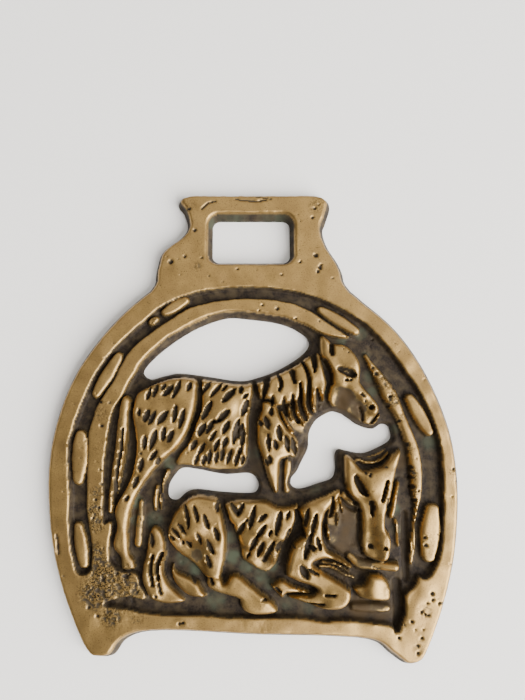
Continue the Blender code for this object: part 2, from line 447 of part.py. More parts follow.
def raise_foal(z, x, y, rng):
    """The lying foal, in front of the mare's hooves."""
    for nodes in (FOAL_FAR_FORELEG, FOAL_STEP, FOAL_MANE):
        raise_limb(z, x, y, nodes, FOAL_RELIEF)
    for outline, tops in ((FOAL_TAIL, FOAL_TAIL_TOPS), (FOAL_FAR_FOOT, FOAL_FAR_FOOT_TOPS),
                          (FOAL_NECK, FOAL_NECK_TOPS), (FOAL_BODY, FOAL_BODY_TOPS),
                          (FOAL_HIND_LEG, FOAL_HIND_LEG_TOPS), (FOAL_HAUNCH, FOAL_HAUNCH_TOPS),
                          (FOAL_FOREHAND, FOAL_FOREHAND_TOPS), (FOAL_HOOF, FOAL_HOOF_TOPS),
                          (FOAL_KNEE, FOAL_KNEE_TOPS), (FOAL_HEAD, FOAL_HEAD_TOPS)):
        raise_mass(z, x, y, outline, tops, FOAL_RELIEF)
    for share, nodes in FOAL_CUTS:
        cut_groove(z, x, y, open_curve(nodes), share * FOAL_RELIEF)
    cut_coat(z, x, y, FOAL_COAT, rng)


def relief():
    """The grid, the height of the front on it, and each place's depth inside the outline."""
    rim = np.vstack([closed_curve(FRAME), closed_curve(hanger_outline())])
    low = rim.min(0) - 3 * GRID
    high = rim.max(0) + 4 * GRID
    x, y = np.meshgrid(np.arange(low[0], high[0], GRID), np.arange(low[1], high[1], GRID))
    z = frame_height(x, y)
    raise_nails(z, x, y)
    raise_limb(z, x, y, WEB, RIM_TOP - GROUND, 3)
    rng = np.random.default_rng(7)
    raise_mare(z, x, y, rng)
    raise_foal(z, x, y, rng)
    frame = depth_inside(x, y, closed_curve(FRAME))
    hanger = depth_inside(x, y, closed_curve(hanger_outline()))
    depth = np.minimum(np.maximum(frame, hanger), -slot_depth(x, y))
    for opening in (ARCH_OPENING, CHEST_OPENING, BELLY_OPENING):
        depth = np.minimum(depth, -depth_inside(x, y, closed_curve(opening)))
    wall = EDGE_LAND + np.maximum(depth, 0) / math.tan(DRAFT)
    blend = np.clip(0.5 + 0.5 * (wall - z) / LIP_ROUND, 0, 1)
    z = wall * (1 - blend) + z * blend - LIP_ROUND * blend * (1 - blend)
    return x, y, np.maximum(z, EDGE_LAND), depth


def snap_to_edge(x, y, z, depth):
    """Move the grid places that lie close to the outline onto it, so that no sliver is cut."""
    slope_y, slope_x = np.gradient(depth, GRID)
    steep = slope_x ** 2 + slope_y ** 2
    near = (np.abs(depth) < 0.35 * GRID) & (steep > 0.25)
    x = np.where(near, x - depth * slope_x / np.maximum(steep, 0.25), x)
    y = np.where(near, y - depth * slope_y / np.maximum(steep, 0.25), y)
    return x, y, np.where(near, EDGE_LAND, z), np.where(near, 0, depth)


def grid_triangles(rows, columns):
    """Two triangles for each square of the grid, with diagonals that alternate."""
    index = np.arange(rows * columns).reshape(rows, columns)
    a, b, c, d = index[:-1, :-1], index[:-1, 1:], index[1:, 1:], index[1:, :-1]
    even = (np.add.outer(np.arange(rows - 1), np.arange(columns - 1)) % 2 == 0)
    first = np.where(even[..., None], np.stack([a, b, c], -1), np.stack([a, b, d], -1))
    second = np.where(even[..., None], np.stack([a, c, d], -1), np.stack([b, c, d], -1))
    return np.vstack([first.reshape(-1, 3), second.reshape(-1, 3)])


def turned(triangles, marked):
    """The same triangles, each turned so that its marked corner comes first."""
    first = marked.argmax(1)
    order = (first[:, None] + np.arange(3)) % 3
    return np.take_along_axis(triangles, order, 1)


def cut_along_edge(places, depth, triangles):
    """Triangles of the surface inside the outline, with new places where edges cross it."""
    inside = depth[triangles] > 0
    outside = depth[triangles] < 0
    used = inside.any(1)
    triangles, inside, outside = triangles[used], inside[used], outside[used]
    outs = outside.sum(1)
    whole = triangles[outs == 0]
    one = turned(triangles[outs == 1], outside[outs == 1])
    two = turned(triangles[outs == 2], inside[outs == 2])
    pairs = np.vstack([one[:, [1, 0]], one[:, [2, 0]], two[:, [0, 1]], two[:, [0, 2]]])
    pairs = np.unique(pairs[(depth[pairs[:, 0]] > 0) & (depth[pairs[:, 1]] < 0)], axis=0)
    t = (depth[pairs[:, 0]] / (depth[pairs[:, 0]] - depth[pairs[:, 1]]))[:, None]
    fresh = places[pairs[:, 0]] * (1 - t) + places[pairs[:, 1]] * t
    fresh[:, 2] = EDGE_LAND
    count = len(places)
    keys = pairs[:, 0] * count + pairs[:, 1]

    def crossing(start, end):
        """Index of the new place between a corner inside and one outside, or the corner itself
        where it lies on the outline."""
        found = np.searchsorted(keys, start * count + end).clip(0, len(keys) - 1)
        return np.where(depth[start] > 0, count + found, start)

    out, p, q = one.T
    cut_p = crossing(p, out)
    cut_q = crossing(q, out)
    sides = np.vstack([np.stack([p, q, cut_q], 1), np.stack([p, cut_q, cut_p], 1)])
    tip, far, near = two.T
    tips = np.stack([tip, crossing(tip, far), crossing(tip, near)], 1)
    faces = np.vstack([whole, sides, tips])
    distinct = (faces != np.roll(faces, 1, 1)).all(1)
    return np.vstack([places, fresh]), faces[distinct]


def closed_plate(places, faces):
    """The front, a flat back under it, and a wall between them along every free edge."""
    used, faces = np.unique(faces, return_inverse=True)
    faces = faces.reshape(-1, 3)
    front = places[used]
    back = front * (1, 1, 0)
    count = len(front)
    edges = np.vstack([faces[:, [0, 1]], faces[:, [1, 2]], faces[:, [2, 0]]])
    forward = edges[:, 0] * count + edges[:, 1]
    reverse = edges[:, 1] * count + edges[:, 0]
    rim = edges[~np.isin(forward, reverse)]
    a, b = rim.T
    walls = np.vstack([np.stack([b, a, a + count], 1), np.stack([b, a + count, b + count], 1)])
    return np.vstack([front, back]), np.vstack([faces, faces[:, ::-1] + count, walls])


def brass():
    """Cast brass, polished where hands and cloths reach it."""
    material = bpy.data.materials.new("cast_brass")
    material.use_nodes = True
    shader = material.node_tree.nodes["Principled BSDF"]
    shader.inputs["Base Color"].default_value = (0.46, 0.31, 0.13, 1)
    shader.inputs["Metallic"].default_value = 1
    shader.inputs["Roughness"].default_value = 0.36
    return material


def build():
    """The horse brass as one solid."""
    for item in list(bpy.data.objects):
        bpy.data.objects.remove(item, do_unlink=True)
    x, y, z, depth = snap_to_edge(*relief())
    places = np.stack([x.ravel(), y.ravel(), z.ravel()], 1)
    places, faces = cut_along_edge(places, depth.ravel(), grid_triangles(*x.shape))
    places, faces = closed_plate(places, faces)
    middle = (places.min(0) + places.max(0)) / 2
    places -= (middle[0], middle[1], 0)
    mesh = bpy.data.meshes.new("horse_brass")
    mesh.from_pydata(places.tolist(), [], faces.tolist())
    mesh.shade_smooth()
    mesh.set_sharp_from_angle(angle=math.radians(50))
    mesh.materials.append(brass())
    piece = bpy.data.objects.new("horse_brass", mesh)
    bpy.context.scene.collection.objects.link(piece)
    thin = piece.modifiers.new("fewer_triangles", "DECIMATE")
    thin.ratio = TRIANGLE_SHARE


build()
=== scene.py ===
# %% [markdown]
# # A cast horse brass, as a height over a plan
# A horse brass is poured into a sand mould that opens in one direction. So nothing on its front
# hangs over anything else, and its whole relief is a single height for each place of its plan.
# This script works out that height with numpy on a fine grid, turns the grid into one closed
# mesh, and gives it worn brass and old dirt by how high each place lies among its neighbours.
# %% Load the frame
import math
import bmesh
import bpy
import numpy as np
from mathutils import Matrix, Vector


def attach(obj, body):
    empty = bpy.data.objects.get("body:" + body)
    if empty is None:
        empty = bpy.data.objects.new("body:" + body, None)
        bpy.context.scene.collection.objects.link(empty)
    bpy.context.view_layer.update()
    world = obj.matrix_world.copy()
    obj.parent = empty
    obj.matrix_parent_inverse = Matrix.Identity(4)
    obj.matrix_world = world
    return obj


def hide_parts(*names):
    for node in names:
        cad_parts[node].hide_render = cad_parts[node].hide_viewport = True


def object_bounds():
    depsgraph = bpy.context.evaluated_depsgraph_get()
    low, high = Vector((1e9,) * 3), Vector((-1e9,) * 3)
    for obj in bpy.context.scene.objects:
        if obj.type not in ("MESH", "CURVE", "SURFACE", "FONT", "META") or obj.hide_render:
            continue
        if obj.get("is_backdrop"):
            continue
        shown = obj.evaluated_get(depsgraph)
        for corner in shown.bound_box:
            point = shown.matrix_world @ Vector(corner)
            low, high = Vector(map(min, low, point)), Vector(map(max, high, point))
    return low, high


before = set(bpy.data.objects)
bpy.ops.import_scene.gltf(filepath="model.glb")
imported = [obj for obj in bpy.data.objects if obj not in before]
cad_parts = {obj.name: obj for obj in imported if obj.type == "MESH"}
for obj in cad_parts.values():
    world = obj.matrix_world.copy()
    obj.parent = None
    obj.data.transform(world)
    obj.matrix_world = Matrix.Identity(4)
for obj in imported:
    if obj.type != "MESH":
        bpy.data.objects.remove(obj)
cad_low, cad_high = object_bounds()
print("CAD nodes:", sorted(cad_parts))
print("CAD box in mm:", [round(side * 1000, 1) for side in cad_high - cad_low])

# %% [markdown]
# ## The grid
# Every surface below is an array over this grid. Plan places are written in millimetres, with x
# to the right, y toward the hanger and z out of the front. A step under a quarter of a
# millimetre is about one pixel of the photograph.
# %% Driving sizes and the grid
MM = 0.001
STEP = 0.23 * MM
MARGIN = 1.2 * MM
GROUND = 1.7 * MM
RIM_TOP = 3.2 * MM
MARE_RELIEF = 2.6 * MM
FOAL_RELIEF = 3.1 * MM
EDGE_LAND = 0.6 * MM
DRAFT = math.radians(22)

half_width = (cad_high.x - cad_low.x) / 2
half_height = (cad_high.y - cad_low.y) / 2
x, y = np.meshgrid(np.arange(-half_width - MARGIN, half_width + MARGIN, STEP),
                   np.arange(-half_height - MARGIN, half_height + MARGIN, STEP))
rng = np.random.default_rng(7)
print("grid:", x.shape)

# %% [markdown]
# ## Curves through a few points
# A modeller draws an outline with a handful of knots and a bent spline. The Catmull-Rom curve
# does the same: it passes through every knot and leaves each one along the line between its
# two neighbours, so an outline stays short to write and smooth to look at.
# %% Curves
def smooth_step(value):
    """0 below 0, 1 above 1, and 3t^2 - 2t^3 between, which starts and ends level."""
    value = np.clip(value, 0, 1)
    return value * value * (3 - 2 * value)


def through(before, start, end, after, t):
    """Catmull-Rom: half of 2s + (e-b)t + (2b-5s+4e-a)t^2 + (3s-b-3e+a)t^3."""
    bend = 2 * before - 5 * start + 4 * end - after
    twist = 3 * start - before - 3 * end + after
    return 0.5 * (2 * start + (end - before) * t + bend * t ** 2 + twist * t ** 3)


def closed_curve(points, steps=8):
    """A closed curve through the points, given in millimetres, as places in metres."""
    p = np.array(points, float)[:, None, :] * MM
    t = (np.arange(steps) / steps)[None, :, None]
    return through(np.roll(p, 1, 0), p, np.roll(p, -1, 0), np.roll(p, -2, 0), t).reshape(-1, 2)


def open_curve(nodes, steps=4):
    """An open curve through nodes of x, y and half width in millimetres. A fourth column, a
    share without a unit, is carried along."""
    p = np.array(nodes, float)
    p[:, :3] *= MM
    if len(p) < 3:
        return p
    ends = np.vstack([2 * p[0] - p[1], p, 2 * p[-1] - p[-2]])[:, None, :]
    t = (np.arange(steps) / steps)[None, :, None]
    curve = through(ends[:-3], ends[1:-2], ends[2:-1], ends[3:], t)
    return np.vstack([curve.reshape(-1, p.shape[1]), p[-1]])


print("a circle's knots give", len(closed_curve([(1, 0), (0, 1), (-1, 0), (0, -1)])), "places")

# %% [markdown]
# ## Distances
# Two questions are asked of each place of the grid: how deep it lies inside a closed outline,
# and how far out it lies across a groove or a limb. For a small shape both are asked only in the
# window of the grid that it can reach, which keeps a hundred short strokes quick.
# %% Distances
def depth_inside(px, py, loop):
    """Distance to the nearest side of the loop, positive inside. A side's nearest point is at
    the share t = (p-a).(b-a) / |b-a|^2 along it, and a place is inside if a ray from it to the
    left crosses the loop an odd number of times."""
    nearest = np.full(px.shape, np.inf)
    inside = np.zeros(px.shape, bool)
    for (ax, ay), (bx, by) in zip(loop, np.roll(loop, -1, 0)):
        ex = bx - ax
        ey = by - ay
        t = np.clip(((px - ax) * ex + (py - ay) * ey) / (ex * ex + ey * ey), 0, 1)
        nearest = np.minimum(nearest, (px - ax - t * ex) ** 2 + (py - ay - t * ey) ** 2)
        if ay != by:
            inside ^= ((ay > py) != (by > py)) & (px < ax + (py - ay) * ex / ey)
    return np.where(inside, 1, -1) * np.sqrt(nearest)


def window(places, margin):
    """The rows and columns of the grid within the margin of the places."""
    low = places[:, :2].min(0) - margin
    high = places[:, :2].max(0) + margin
    rows = np.flatnonzero((y[:, 0] > low[1]) & (y[:, 0] < high[1]))
    columns = np.flatnonzero((x[0] > low[0]) & (x[0] < high[0]))
    return slice(rows[0], rows[-1] + 1), slice(columns[0], columns[-1] + 1)


def across(px, py, chain):
    """Distance to a chain of tapered discs over its half width there, 0 on its middle line and
    1 on its edge, and the chain's last column at the nearest place."""
    nearest = np.full(px.shape, np.inf)
    carried = np.zeros(px.shape)
    for start, end in zip(chain[:-1], chain[1:]):
        run = end[:2] - start[:2]
        t = np.clip(((px - start[0]) * run[0] + (py - start[1]) * run[1]) / (run @ run), 0, 1)
        away = np.hypot(px - start[0] - t * run[0], py - start[1] - t * run[1])
        out = away / (start[2] + (end[2] - start[2]) * t)
        carried = np.where(out < nearest, start[-1] + (end[-1] - start[-1]) * t, carried)
        nearest = np.minimum(nearest, out)
    return nearest, carried


# %% [markdown]
# ## An uneven hand
# The pattern for such a brass was cut by hand and its moulds wore, so no edge is quite true.
# Clouds of smooth noise push the plan about by a tenth of a millimetre before the relief is
# measured on it, and every line of it wavers as a hand's would.
# %% Clouds of noise
CLOUD_CELLS = 399
CLOUD_SHIFT = 60 * MM


def cloud(cell, seed):
    """Smooth noise between about -1 and 1: random values on squares of that size, blended by
    smooth_step across each square."""
    values = np.random.default_rng(seed).uniform(-1, 1, (CLOUD_CELLS + 1, CLOUD_CELLS + 1))
    u = (x + CLOUD_SHIFT) / cell
    v = (y + CLOUD_SHIFT) / cell
    i = u.astype(int)
    j = v.astype(int)
    s = smooth_step(u - i)
    t = smooth_step(v - j)
    i = i % CLOUD_CELLS
    j = j % CLOUD_CELLS
    low = values[j, i] * (1 - s) + values[j, i + 1] * s
    high = values[j + 1, i] * (1 - s) + values[j + 1, i + 1] * s
    return low * (1 - t) + high * t


grain = 0.6 * cloud(0.5 * MM, 1) + 0.4 * cloud(0.28 * MM, 2)
WAVER = 0.09 * MM
wx = x + WAVER * (cloud(2.2 * MM, 3) + 0.5 * cloud(0.8 * MM, 4))
wy = y + WAVER * (cloud(2.2 * MM, 5) + 0.5 * cloud(0.8 * MM, 6))
print("the plan wavers by up to", round(float(np.abs(wx - x).max() / MM), 2), "mm")

# %% [markdown]
# ## The plate
# The outline is the arched frame with two feet, joined to the hanger that a strap runs through.
# A place is on the plate if it is inside either of the two, so their depths are joined by the
# larger one.
# %% Frame and hanger
FRAME = [
    (0, 29), (9.5, 28), (17.3, 25.4), (22.2, 21.6), (26.8, 17.5), (30.5, 12.8), (33.8, 6.9),
    (36.6, -0.3), (38, -7), (38.3, -15), (37.2, -25), (34.7, -34), (31.7, -41.2), (29.8, -43.6),
    (27.3, -43.9), (24.6, -42.2), (21.5, -40.1), (14, -39.4), (0, -39.1), (-12, -38.5), (-19, -38.6),
    (-22.7, -39.9), (-24.6, -42.3), (-26.8, -42.8), (-29.3, -42), (-32.2, -37), (-35.4, -29),
    (-37.5, -20), (-38.3, -10), (-37.2, -1), (-34, 8.1), (-28.7, 16.1), (-22.7, 22.3), (-17.2, 26.1),
    (-10, 28.3)]
HANGER = [
    (-18.6, 20), (-19.2, 26.2), (-18.8, 29.6), (-18.1, 31.9), (-16.4, 33.6), (-14.3, 35.2),
    (-13.1, 37.2), (-13.8, 40), (-15, 41.8), (-14.2, 43.4), (-11.5, 44), (-7.1, 44), (6.6, 44),
    (11.6, 44), (14.2, 43.4), (15.3, 41.6), (14.5, 38.5), (13.8, 36.3), (14.7, 33.2), (16.8, 29.7),
    (17.8, 26.4), (17.6, 20)]

frame_depth = depth_inside(x, y, closed_curve(FRAME))
depth = np.maximum(frame_depth, depth_inside(x, y, closed_curve(HANGER)))
print("plate area:", round(float((depth > 0).sum() * STEP ** 2 / MM ** 2)), "square mm")

# %% [markdown]
# ## The openings
# Three openings are cast right through the plate: over the mare's back, in front of her chest
# and under her belly. The strap slot is a rounded rectangle, whose distance has a formula of its
# own. Each opening takes its depth away from the plate's.
# %% Openings
ARCH_OPENING = [
    (-21.1, 8.5), (-19.6, 7), (-17, 7.6), (-14, 8.1), (-9.3, 7.6), (-2.6, 6.65), (1, 7.3), (5.1, 8.9),
    (9.2, 11.5), (10.9, 13.9), (9.2, 16.1), (5.1, 17.9), (-1.1, 18.8), (-5.2, 18.95), (-10.3, 17.25),
    (-14.5, 14.8), (-18.6, 11.6)]
CHEST_OPENING = [
    (14.8, 0.8), (12.2, -0.6), (10.9, -2.5), (10.5, -4.2), (10.4, -6), (9.1, -8.6), (8.3, -10.2),
    (7.2, -11.6), (7.3, -12.9), (8.9, -13.5), (12.3, -12.5), (14.8, -11.6), (15.5, -9.9), (15.5, -7.2),
    (16.2, -6.2), (17.7, -6.5), (20.5, -6.95), (23, -6.2), (26, -4.4), (25.8, -2), (24.3, -1.5),
    (22.6, -2.4), (20, -1.7), (18, -0.35), (16.6, 0.5)]
BELLY_OPENING = [
    (-15.7, -13), (-14.8, -11.2), (-13.2, -9.7), (-10.3, -9.9), (-5.2, -10.8), (-0.6, -10.65),
    (1.05, -12.2), (0.8, -13.8), (-0.6, -14.3), (-5.5, -14.1), (-10.3, -13.6), (-12.3, -14.1),
    (-14.1, -15.5), (-15.6, -15)]
SLOT_MIDDLE = (-0.4, 34.4)
SLOT_HALF = (7.7, 4.4)
SLOT_CORNER = 1.5 * MM


def slot_depth():
    """Distance to the slot, positive inside: its straight sides are moved in by the corner
    radius r, and the distance to what is left is taken from r."""
    over_x = np.abs(x - SLOT_MIDDLE[0] * MM) - SLOT_HALF[0] * MM + SLOT_CORNER
    over_y = np.abs(y - SLOT_MIDDLE[1] * MM) - SLOT_HALF[1] * MM + SLOT_CORNER
    corner = np.hypot(np.maximum(over_x, 0), np.maximum(over_y, 0))
    return SLOT_CORNER - corner - np.minimum(np.maximum(over_x, over_y), 0)


depth = np.minimum(depth, -slot_depth())
for opening in (ARCH_OPENING, CHEST_OPENING, BELLY_OPENING):
    depth = np.minimum(depth, -depth_inside(x, y, closed_curve(opening)))
print("area left:", round(float((depth > 0).sum() * STEP ** 2 / MM ** 2)), "square mm")

# %% [markdown]
# ## The bare frame
# The rim is almost flat with a faint crown, since it is what a polishing cloth rests on. A
# groove like a horseshoe's runs round it, and inside that the panel is sunk to the ground that
# the animals stand on. Each step down is a smooth_step, because a cast edge is never sharp.
# %% Rim, groove and sunk panel
PANEL = [
    (-24.9, 3.4), (-23.75, 6), (-22, 8.95), (-20, 11.7), (-17.7, 14), (-15, 15.9), (-10, 18.2), (-5, 20),
    (0, 20), (5, 19.3), (9, 18), (13, 16), (16.5, 15.1), (19.5, 15), (22.5, 13.4), (26.2, 9),
    (29.5, 4), (32, -2), (33, -9), (33, -16), (32, -22), (31, -26.5), (29.3, -30.2), (27.6, -32),
    (27.4, -35), (26.1, -37.8), (25.2, -38.2), (24.2, -37.1), (18, -36.3), (13, -36.4), (7, -35.8),
    (-2, -35.8), (-10, -35.4), (-17, -35.3), (-22.5, -34.3), (-26, -33.9), (-26.2, -32.9), (-22.5, -31.9),
    (-19.3, -32.2), (-20.3, -30), (-21, -28.3), (-23.5, -27.9), (-25.6, -26.6), (-26.1, -24),
    (-25.8, -19.5), (-27.2, -19.5), (-27.4, -15), (-27.6, -10), (-27.2, -4), (-26.2, 1)]
GROOVE = [
    (-30.4, -27, 1.5), (-30.9, -23, 2.1), (-31.7, -18, 1.8), (-31.9, -14, 1.7), (-32.2, -7, 2),
    (-31.9, -2.5, 1.7), (-30.3, 2.6, 1.6), (-27.9, 7.2, 1.95), (-25.2, 11.8, 1.5), (-22.3, 15, 1.3),
    (-16.8, 19.4, 1.6), (-12, 21.9, 1.4), (-6, 23.2, 1.3), (0, 23.5, 1.25), (6, 23, 1.3),
    (11.5, 21.3, 1.6), (16.5, 18.4, 2.1), (21, 15.3, 2.1), (24.8, 11, 2), (28.6, 5.3, 2.1),
    (31.2, 0, 2.2), (32.7, -4.5, 2.05), (33.3, -9, 1.9), (33.1, -14, 2), (32.4, -19, 2.5),
    (31.7, -24, 2.5), (30.8, -27.3, 1.8)]
RIM_WIDTH = 4.8 * MM
CROWN = 0.12 * MM
GROOVE_FLOOR = 1.75 * MM
STEP_WIDTH = 0.55 * MM

groove = open_curve(GROOVE)
groove_depth = (1 - across(wx, wy, groove)[0]) * groove[:, 2].mean()
panel_depth = depth_inside(wx, wy, closed_curve(PANEL))


def frame_height():
    """Rim with a parabolic crown, less the groove, less the sunk panel."""
    crown = 1 - (1.6 * (frame_depth / RIM_WIDTH - 0.5)) ** 2
    height = RIM_TOP + CROWN * np.clip(crown, -1, 1)
    height += (GROOVE_FLOOR - height) * smooth_step(groove_depth / STEP_WIDTH)
    return np.minimum(height, RIM_TOP + (GROUND - RIM_TOP) * smooth_step(panel_depth / STEP_WIDTH))


z = frame_height()
print("bare frame from", round(z.min() / MM, 2), "to", round(z.max() / MM, 2), "mm")

# %% [markdown]
# ## Soot
# Old polish and soot settle in whatever is sunk. So a second array beside the height remembers
# how sooty each place is: the groove and the lower panel from the start, and every cut as it is
# made.
# %% Soot in the groove and the panel
SOOT_EDGE = 0.4 * MM
SOOT_FADE = 4 * MM

soot = 0.6 * smooth_step(0.4 + groove_depth / SOOT_EDGE)
panel_soot = 0.5 * smooth_step(0.3 + panel_depth / SOOT_EDGE) * smooth_step(1 - y / SOOT_FADE)
soot = np.maximum(soot, panel_soot)
print("sooty share of the plate:", round(float((soot[depth > 0] > 0.25).mean()), 2))

# %% [markdown]
# ## Tools that raise
# Wax is added in two ways: as a limb, a rounded bar along a line, and as a mass, a muscle with
# an outline of its own. Where two overlap the higher one shows, as it would in wax.
# %% Limbs and masses
SHOULDER_ROUND = 1.05 * MM
SHOULDER_POWER = 2.6
REACH = 3 * MM


def lay_on(part, top):
    """The higher of what is there and what is added. Fresh wax has no soot on it."""
    soot[part] = np.where(top > z[part], 0, soot[part])
    z[part] = np.maximum(z[part], top)


def raise_limb(nodes, relief, power=2.4):
    """A bar over a chain of discs, whose section is share * relief * (1 - out^p)^(1/p)."""
    chain = open_curve(nodes)
    part = window(chain, REACH)
    out, share = across(wx[part], wy[part], chain)
    top = GROUND + relief * share * np.clip(1 - out ** power, 0, 1) ** (1 / power)
    lay_on(part, np.where(out < 1, top, 0))


def raise_mass(outline, tops, relief):
    """A muscle: its top is the mean of the tops, each weighted by 1 / (distance^2 + 1)^2, and
    its shoulder falls as (1 - s^p)^(1/p). A power p above 2 is fuller than a quarter circle."""
    loop = closed_curve(outline)
    part = window(loop, MM)
    px = wx[part]
    py = wy[part]
    peaks = np.array(tops, float)
    away = (px[..., None] / MM - peaks[:, 0]) ** 2 + (py[..., None] / MM - peaks[:, 1]) ** 2
    weight = (away + 1) ** -2
    share = (weight * peaks[:, 2]).sum(-1) / weight.sum(-1)
    inside = depth_inside(px, py, loop)
    slope = 1 - np.clip(inside / SHOULDER_ROUND, 0, 1)
    top = GROUND + relief * share * (1 - slope ** SHOULDER_POWER) ** (1 / SHOULDER_POWER)
    lay_on(part, np.where(inside > 0, top, 0))


print("a mass reaches its full height", round(SHOULDER_ROUND / MM, 2), "mm inside its outline")

# %% [markdown]
# ## Tools that cut
# Gouges take the wax away again. A gouge stops at the ground and a hair's stroke just above it.
# Only punches, cracks and the two furrows beside the foal go a little below.
# %% Gouges, punches and strokes
PIT_FLOOR = GROUND - 0.6 * MM
STROKE_FLOOR = GROUND + 0.2 * MM
STROKE_SWELL = 1.3
STROKE_TAPER = [(-0.05, 0.35), (0.3, 1), (0.7, 1), (1.05, 0.35)]
SOOTY = 0.5 * MM


def cut(nodes, deep, floor=GROUND):
    """A gouge: the height falls by deep * (1 - out^4), and not below the floor. It fills with
    soot, up to 1 where it is deepest."""
    chain = open_curve(nodes)
    part = window(chain, REACH)
    out, _ = across(wx[part], wy[part], chain)
    share = np.clip(1 - out ** 4, 0, 1)
    low = z[part] - deep * share
    z[part] = np.where(out < 1, np.maximum(low, np.minimum(z[part], floor)), z[part])
    soot[part] = np.maximum(soot[part], share * min(deep / SOOTY, 1))


def punch(px, py, half, deep):
    """A round hole with a rounded floor, deep and as wide as twice the half width: a gouge
    between two nodes that are only a hair apart."""
    cut([(px - 0.02, py, half), (px + 0.02, py, half)], deep * MM, PIT_FLOOR)


def tapered(x0, y0, x1, y1, half, taper):
    """A straight mark from one end to the other, as nodes. The taper gives places t along it,
    start + t * (end - start), and the share of the half width there."""
    return [(x0 + (x1 - x0) * t, y0 + (y1 - y0) * t, half * wide) for t, wide in taper]


def cut_strokes(strokes, deep):
    """Short gouges for hair, pointed at both ends: x and y of each end, and the half width."""
    for *ends, half in strokes:
        cut(tapered(*ends, STROKE_SWELL * half, STROKE_TAPER), deep, STROKE_FLOOR)


print("a stroke's floor is", round((STROKE_FLOOR - GROUND) / MM, 2), "mm above the ground")

# %% [markdown]
# ## Nail heads and web
# Seven long nail heads and one short stub lie in the groove, as on a real shoe. The strip
# between the groove and the panel is whole on the left. On the right only a narrow web of it
# stands, rough from the sand, and it runs out in two thin threads beside the foal.
# %% Nail heads and web
NAILS = [
    (-12.9, 22, -16.9, 19.7, 1.05), (-18.4, 18.4, -19.6, 17.6, 0.75), (-25.4, 11.2, -29.4, 4.2, 1.25),
    (-31.9, -3.6, -32, -11.5, 1.55), (-31.6, -19.9, -30.4, -26.4, 1.25), (13.1, 20.2, 19.6, 16.1, 1.15),
    (29.5, 3.2, 32.8, -2.8, 1.3), (32.9, -17, 31.8, -25, 1.75)]
WEB = [
    (21.4, 11.2, 0.4, 0.6), (22.4, 9.6, 0.6, 0.85), (24.3, 6.6, 1.1, 0.95), (25.9, 3.6, 1.5, 1),
    (27.7, -0.4, 1, 1), (29.3, -4.6, 1.15, 1), (30.1, -8, 1.2, 1), (30.2, -12, 1.1, 1),
    (30.1, -14.6, 0.9, 0.95), (30, -16.4, 0.35, 0.8), (29.5, -19.5, 0.28, 0.6), (29.3, -23, 0.28, 0.55),
    (28.7, -26.6, 0.25, 0.4)]
THREAD = [(29.1, -21.2, 0.2, 0.45), (28.7, -24, 0.24, 0.5), (28.4, -26.4, 0.2, 0.4)]
NAIL_TOP = 3.1 * MM
NAIL_TAPER = [(0, 0.72), (0.33, 1), (0.67, 1), (1, 0.72)]

for nail in NAILS:
    raise_limb([node + (1,) for node in tapered(*nail, NAIL_TAPER)], NAIL_TOP - GROUND, 4)
raise_limb(WEB, RIM_TOP - GROUND, 3)
raise_limb(THREAD, RIM_TOP - GROUND)
print("nail heads:", len(NAILS))

# %% [markdown]
# ## The mare: what lies behind her
# She stands across the frame in profile. Her far legs and her tail are the lowest of her, so
# they are laid on first, and what comes later covers their ends. A limb is a list of nodes: x,
# y, half width, and the share of the relief that it reaches there.
# %% The mare's far legs and tail
TAIL = [
    (-23.6, 2.8, 1.0, 0.8), (-24.1, -2, 1.2, 0.85), (-24.4, -6, 1.15, 0.85), (-24.9, -10, 1.1, 0.8),
    (-25.5, -14, 0.85, 0.7), (-25.9, -17.2, 0.5, 0.6)]
MARE_LIMBS = [
    [(-20.4, -15.6, 0.5, 0.24), (-20.5, -18.5, 0.75, 0.3), (-20.8, -23, 0.8, 0.32)],
    [(-15.5, -10, 0.35, 0.5), (-16.1, -12.2, 0.4, 0.5), (-16.4, -13.9, 0.25, 0.35)],
    [(-17.5, -12.9, 0.35, 0.35), (-17.8, -15, 0.45, 0.4), (-17.7, -17, 0.35, 0.3)],
    [(-16.9, -14.6, 0.22, 0.3), (-16.7, -16.8, 0.22, 0.3)],
    [(6.6, -8.4, 0.7, 0.35), (6.4, -11, 0.65, 0.3), (6.3, -13.6, 0.6, 0.28)],
    TAIL]

for nodes in MARE_LIMBS:
    raise_limb(nodes, MARE_RELIEF)
print("limbs behind the mare:", len(MARE_LIMBS))

# %% [markdown]
# ## The mare: barrel, breast and neck
# Flesh has no one height. So each mass has an outline and a few tops, each with x, y and a
# share of the relief, and the height runs smoothly from one top to the next. The breast lies
# low between the legs, and the neck is laid over it.
# %% Barrel, breast and neck
BARREL = [
    (-9.6, 6.8), (-6, 6.4), (-2, 6), (0.2, 6), (-0.3, 2.5), (-0.6, 0), (-0.8, -4), (-1.1, -8.2),
    (-2.5, -9.6), (-6, -10), (-10, -9.6), (-12.8, -9.2), (-14.2, -8.6), (-13.3, -6.6), (-11.7, -3.4),
    (-10.3, 0), (-9.6, 3)]
BARREL_TOPS = [
    (-5, 1.5, 1), (-5, 6, 0.72), (-9, 5, 0.8), (-5, -4, 0.85), (-1.5, 1, 0.85), (-1.8, -5, 0.7),
    (-5, -9, 0.25), (-11, -7.5, 0.3), (-1.8, -8.8, 0.35), (-9, -2, 0.88)]
BREAST = [
    (4.8, 1.8), (8, 2.8), (11, 2.6), (13, 2), (11.8, 0.5), (10.8, -0.6), (9.9, -1.9), (9.6, -3.4),
    (8.8, -5), (7.6, -4.4), (6.4, -2.4), (5, -0.4)]
BREAST_TOPS = [(7, 0.6, 0.32), (9, -1, 0.3), (11, 1.2, 0.4), (9.2, -3.6, 0.16)]
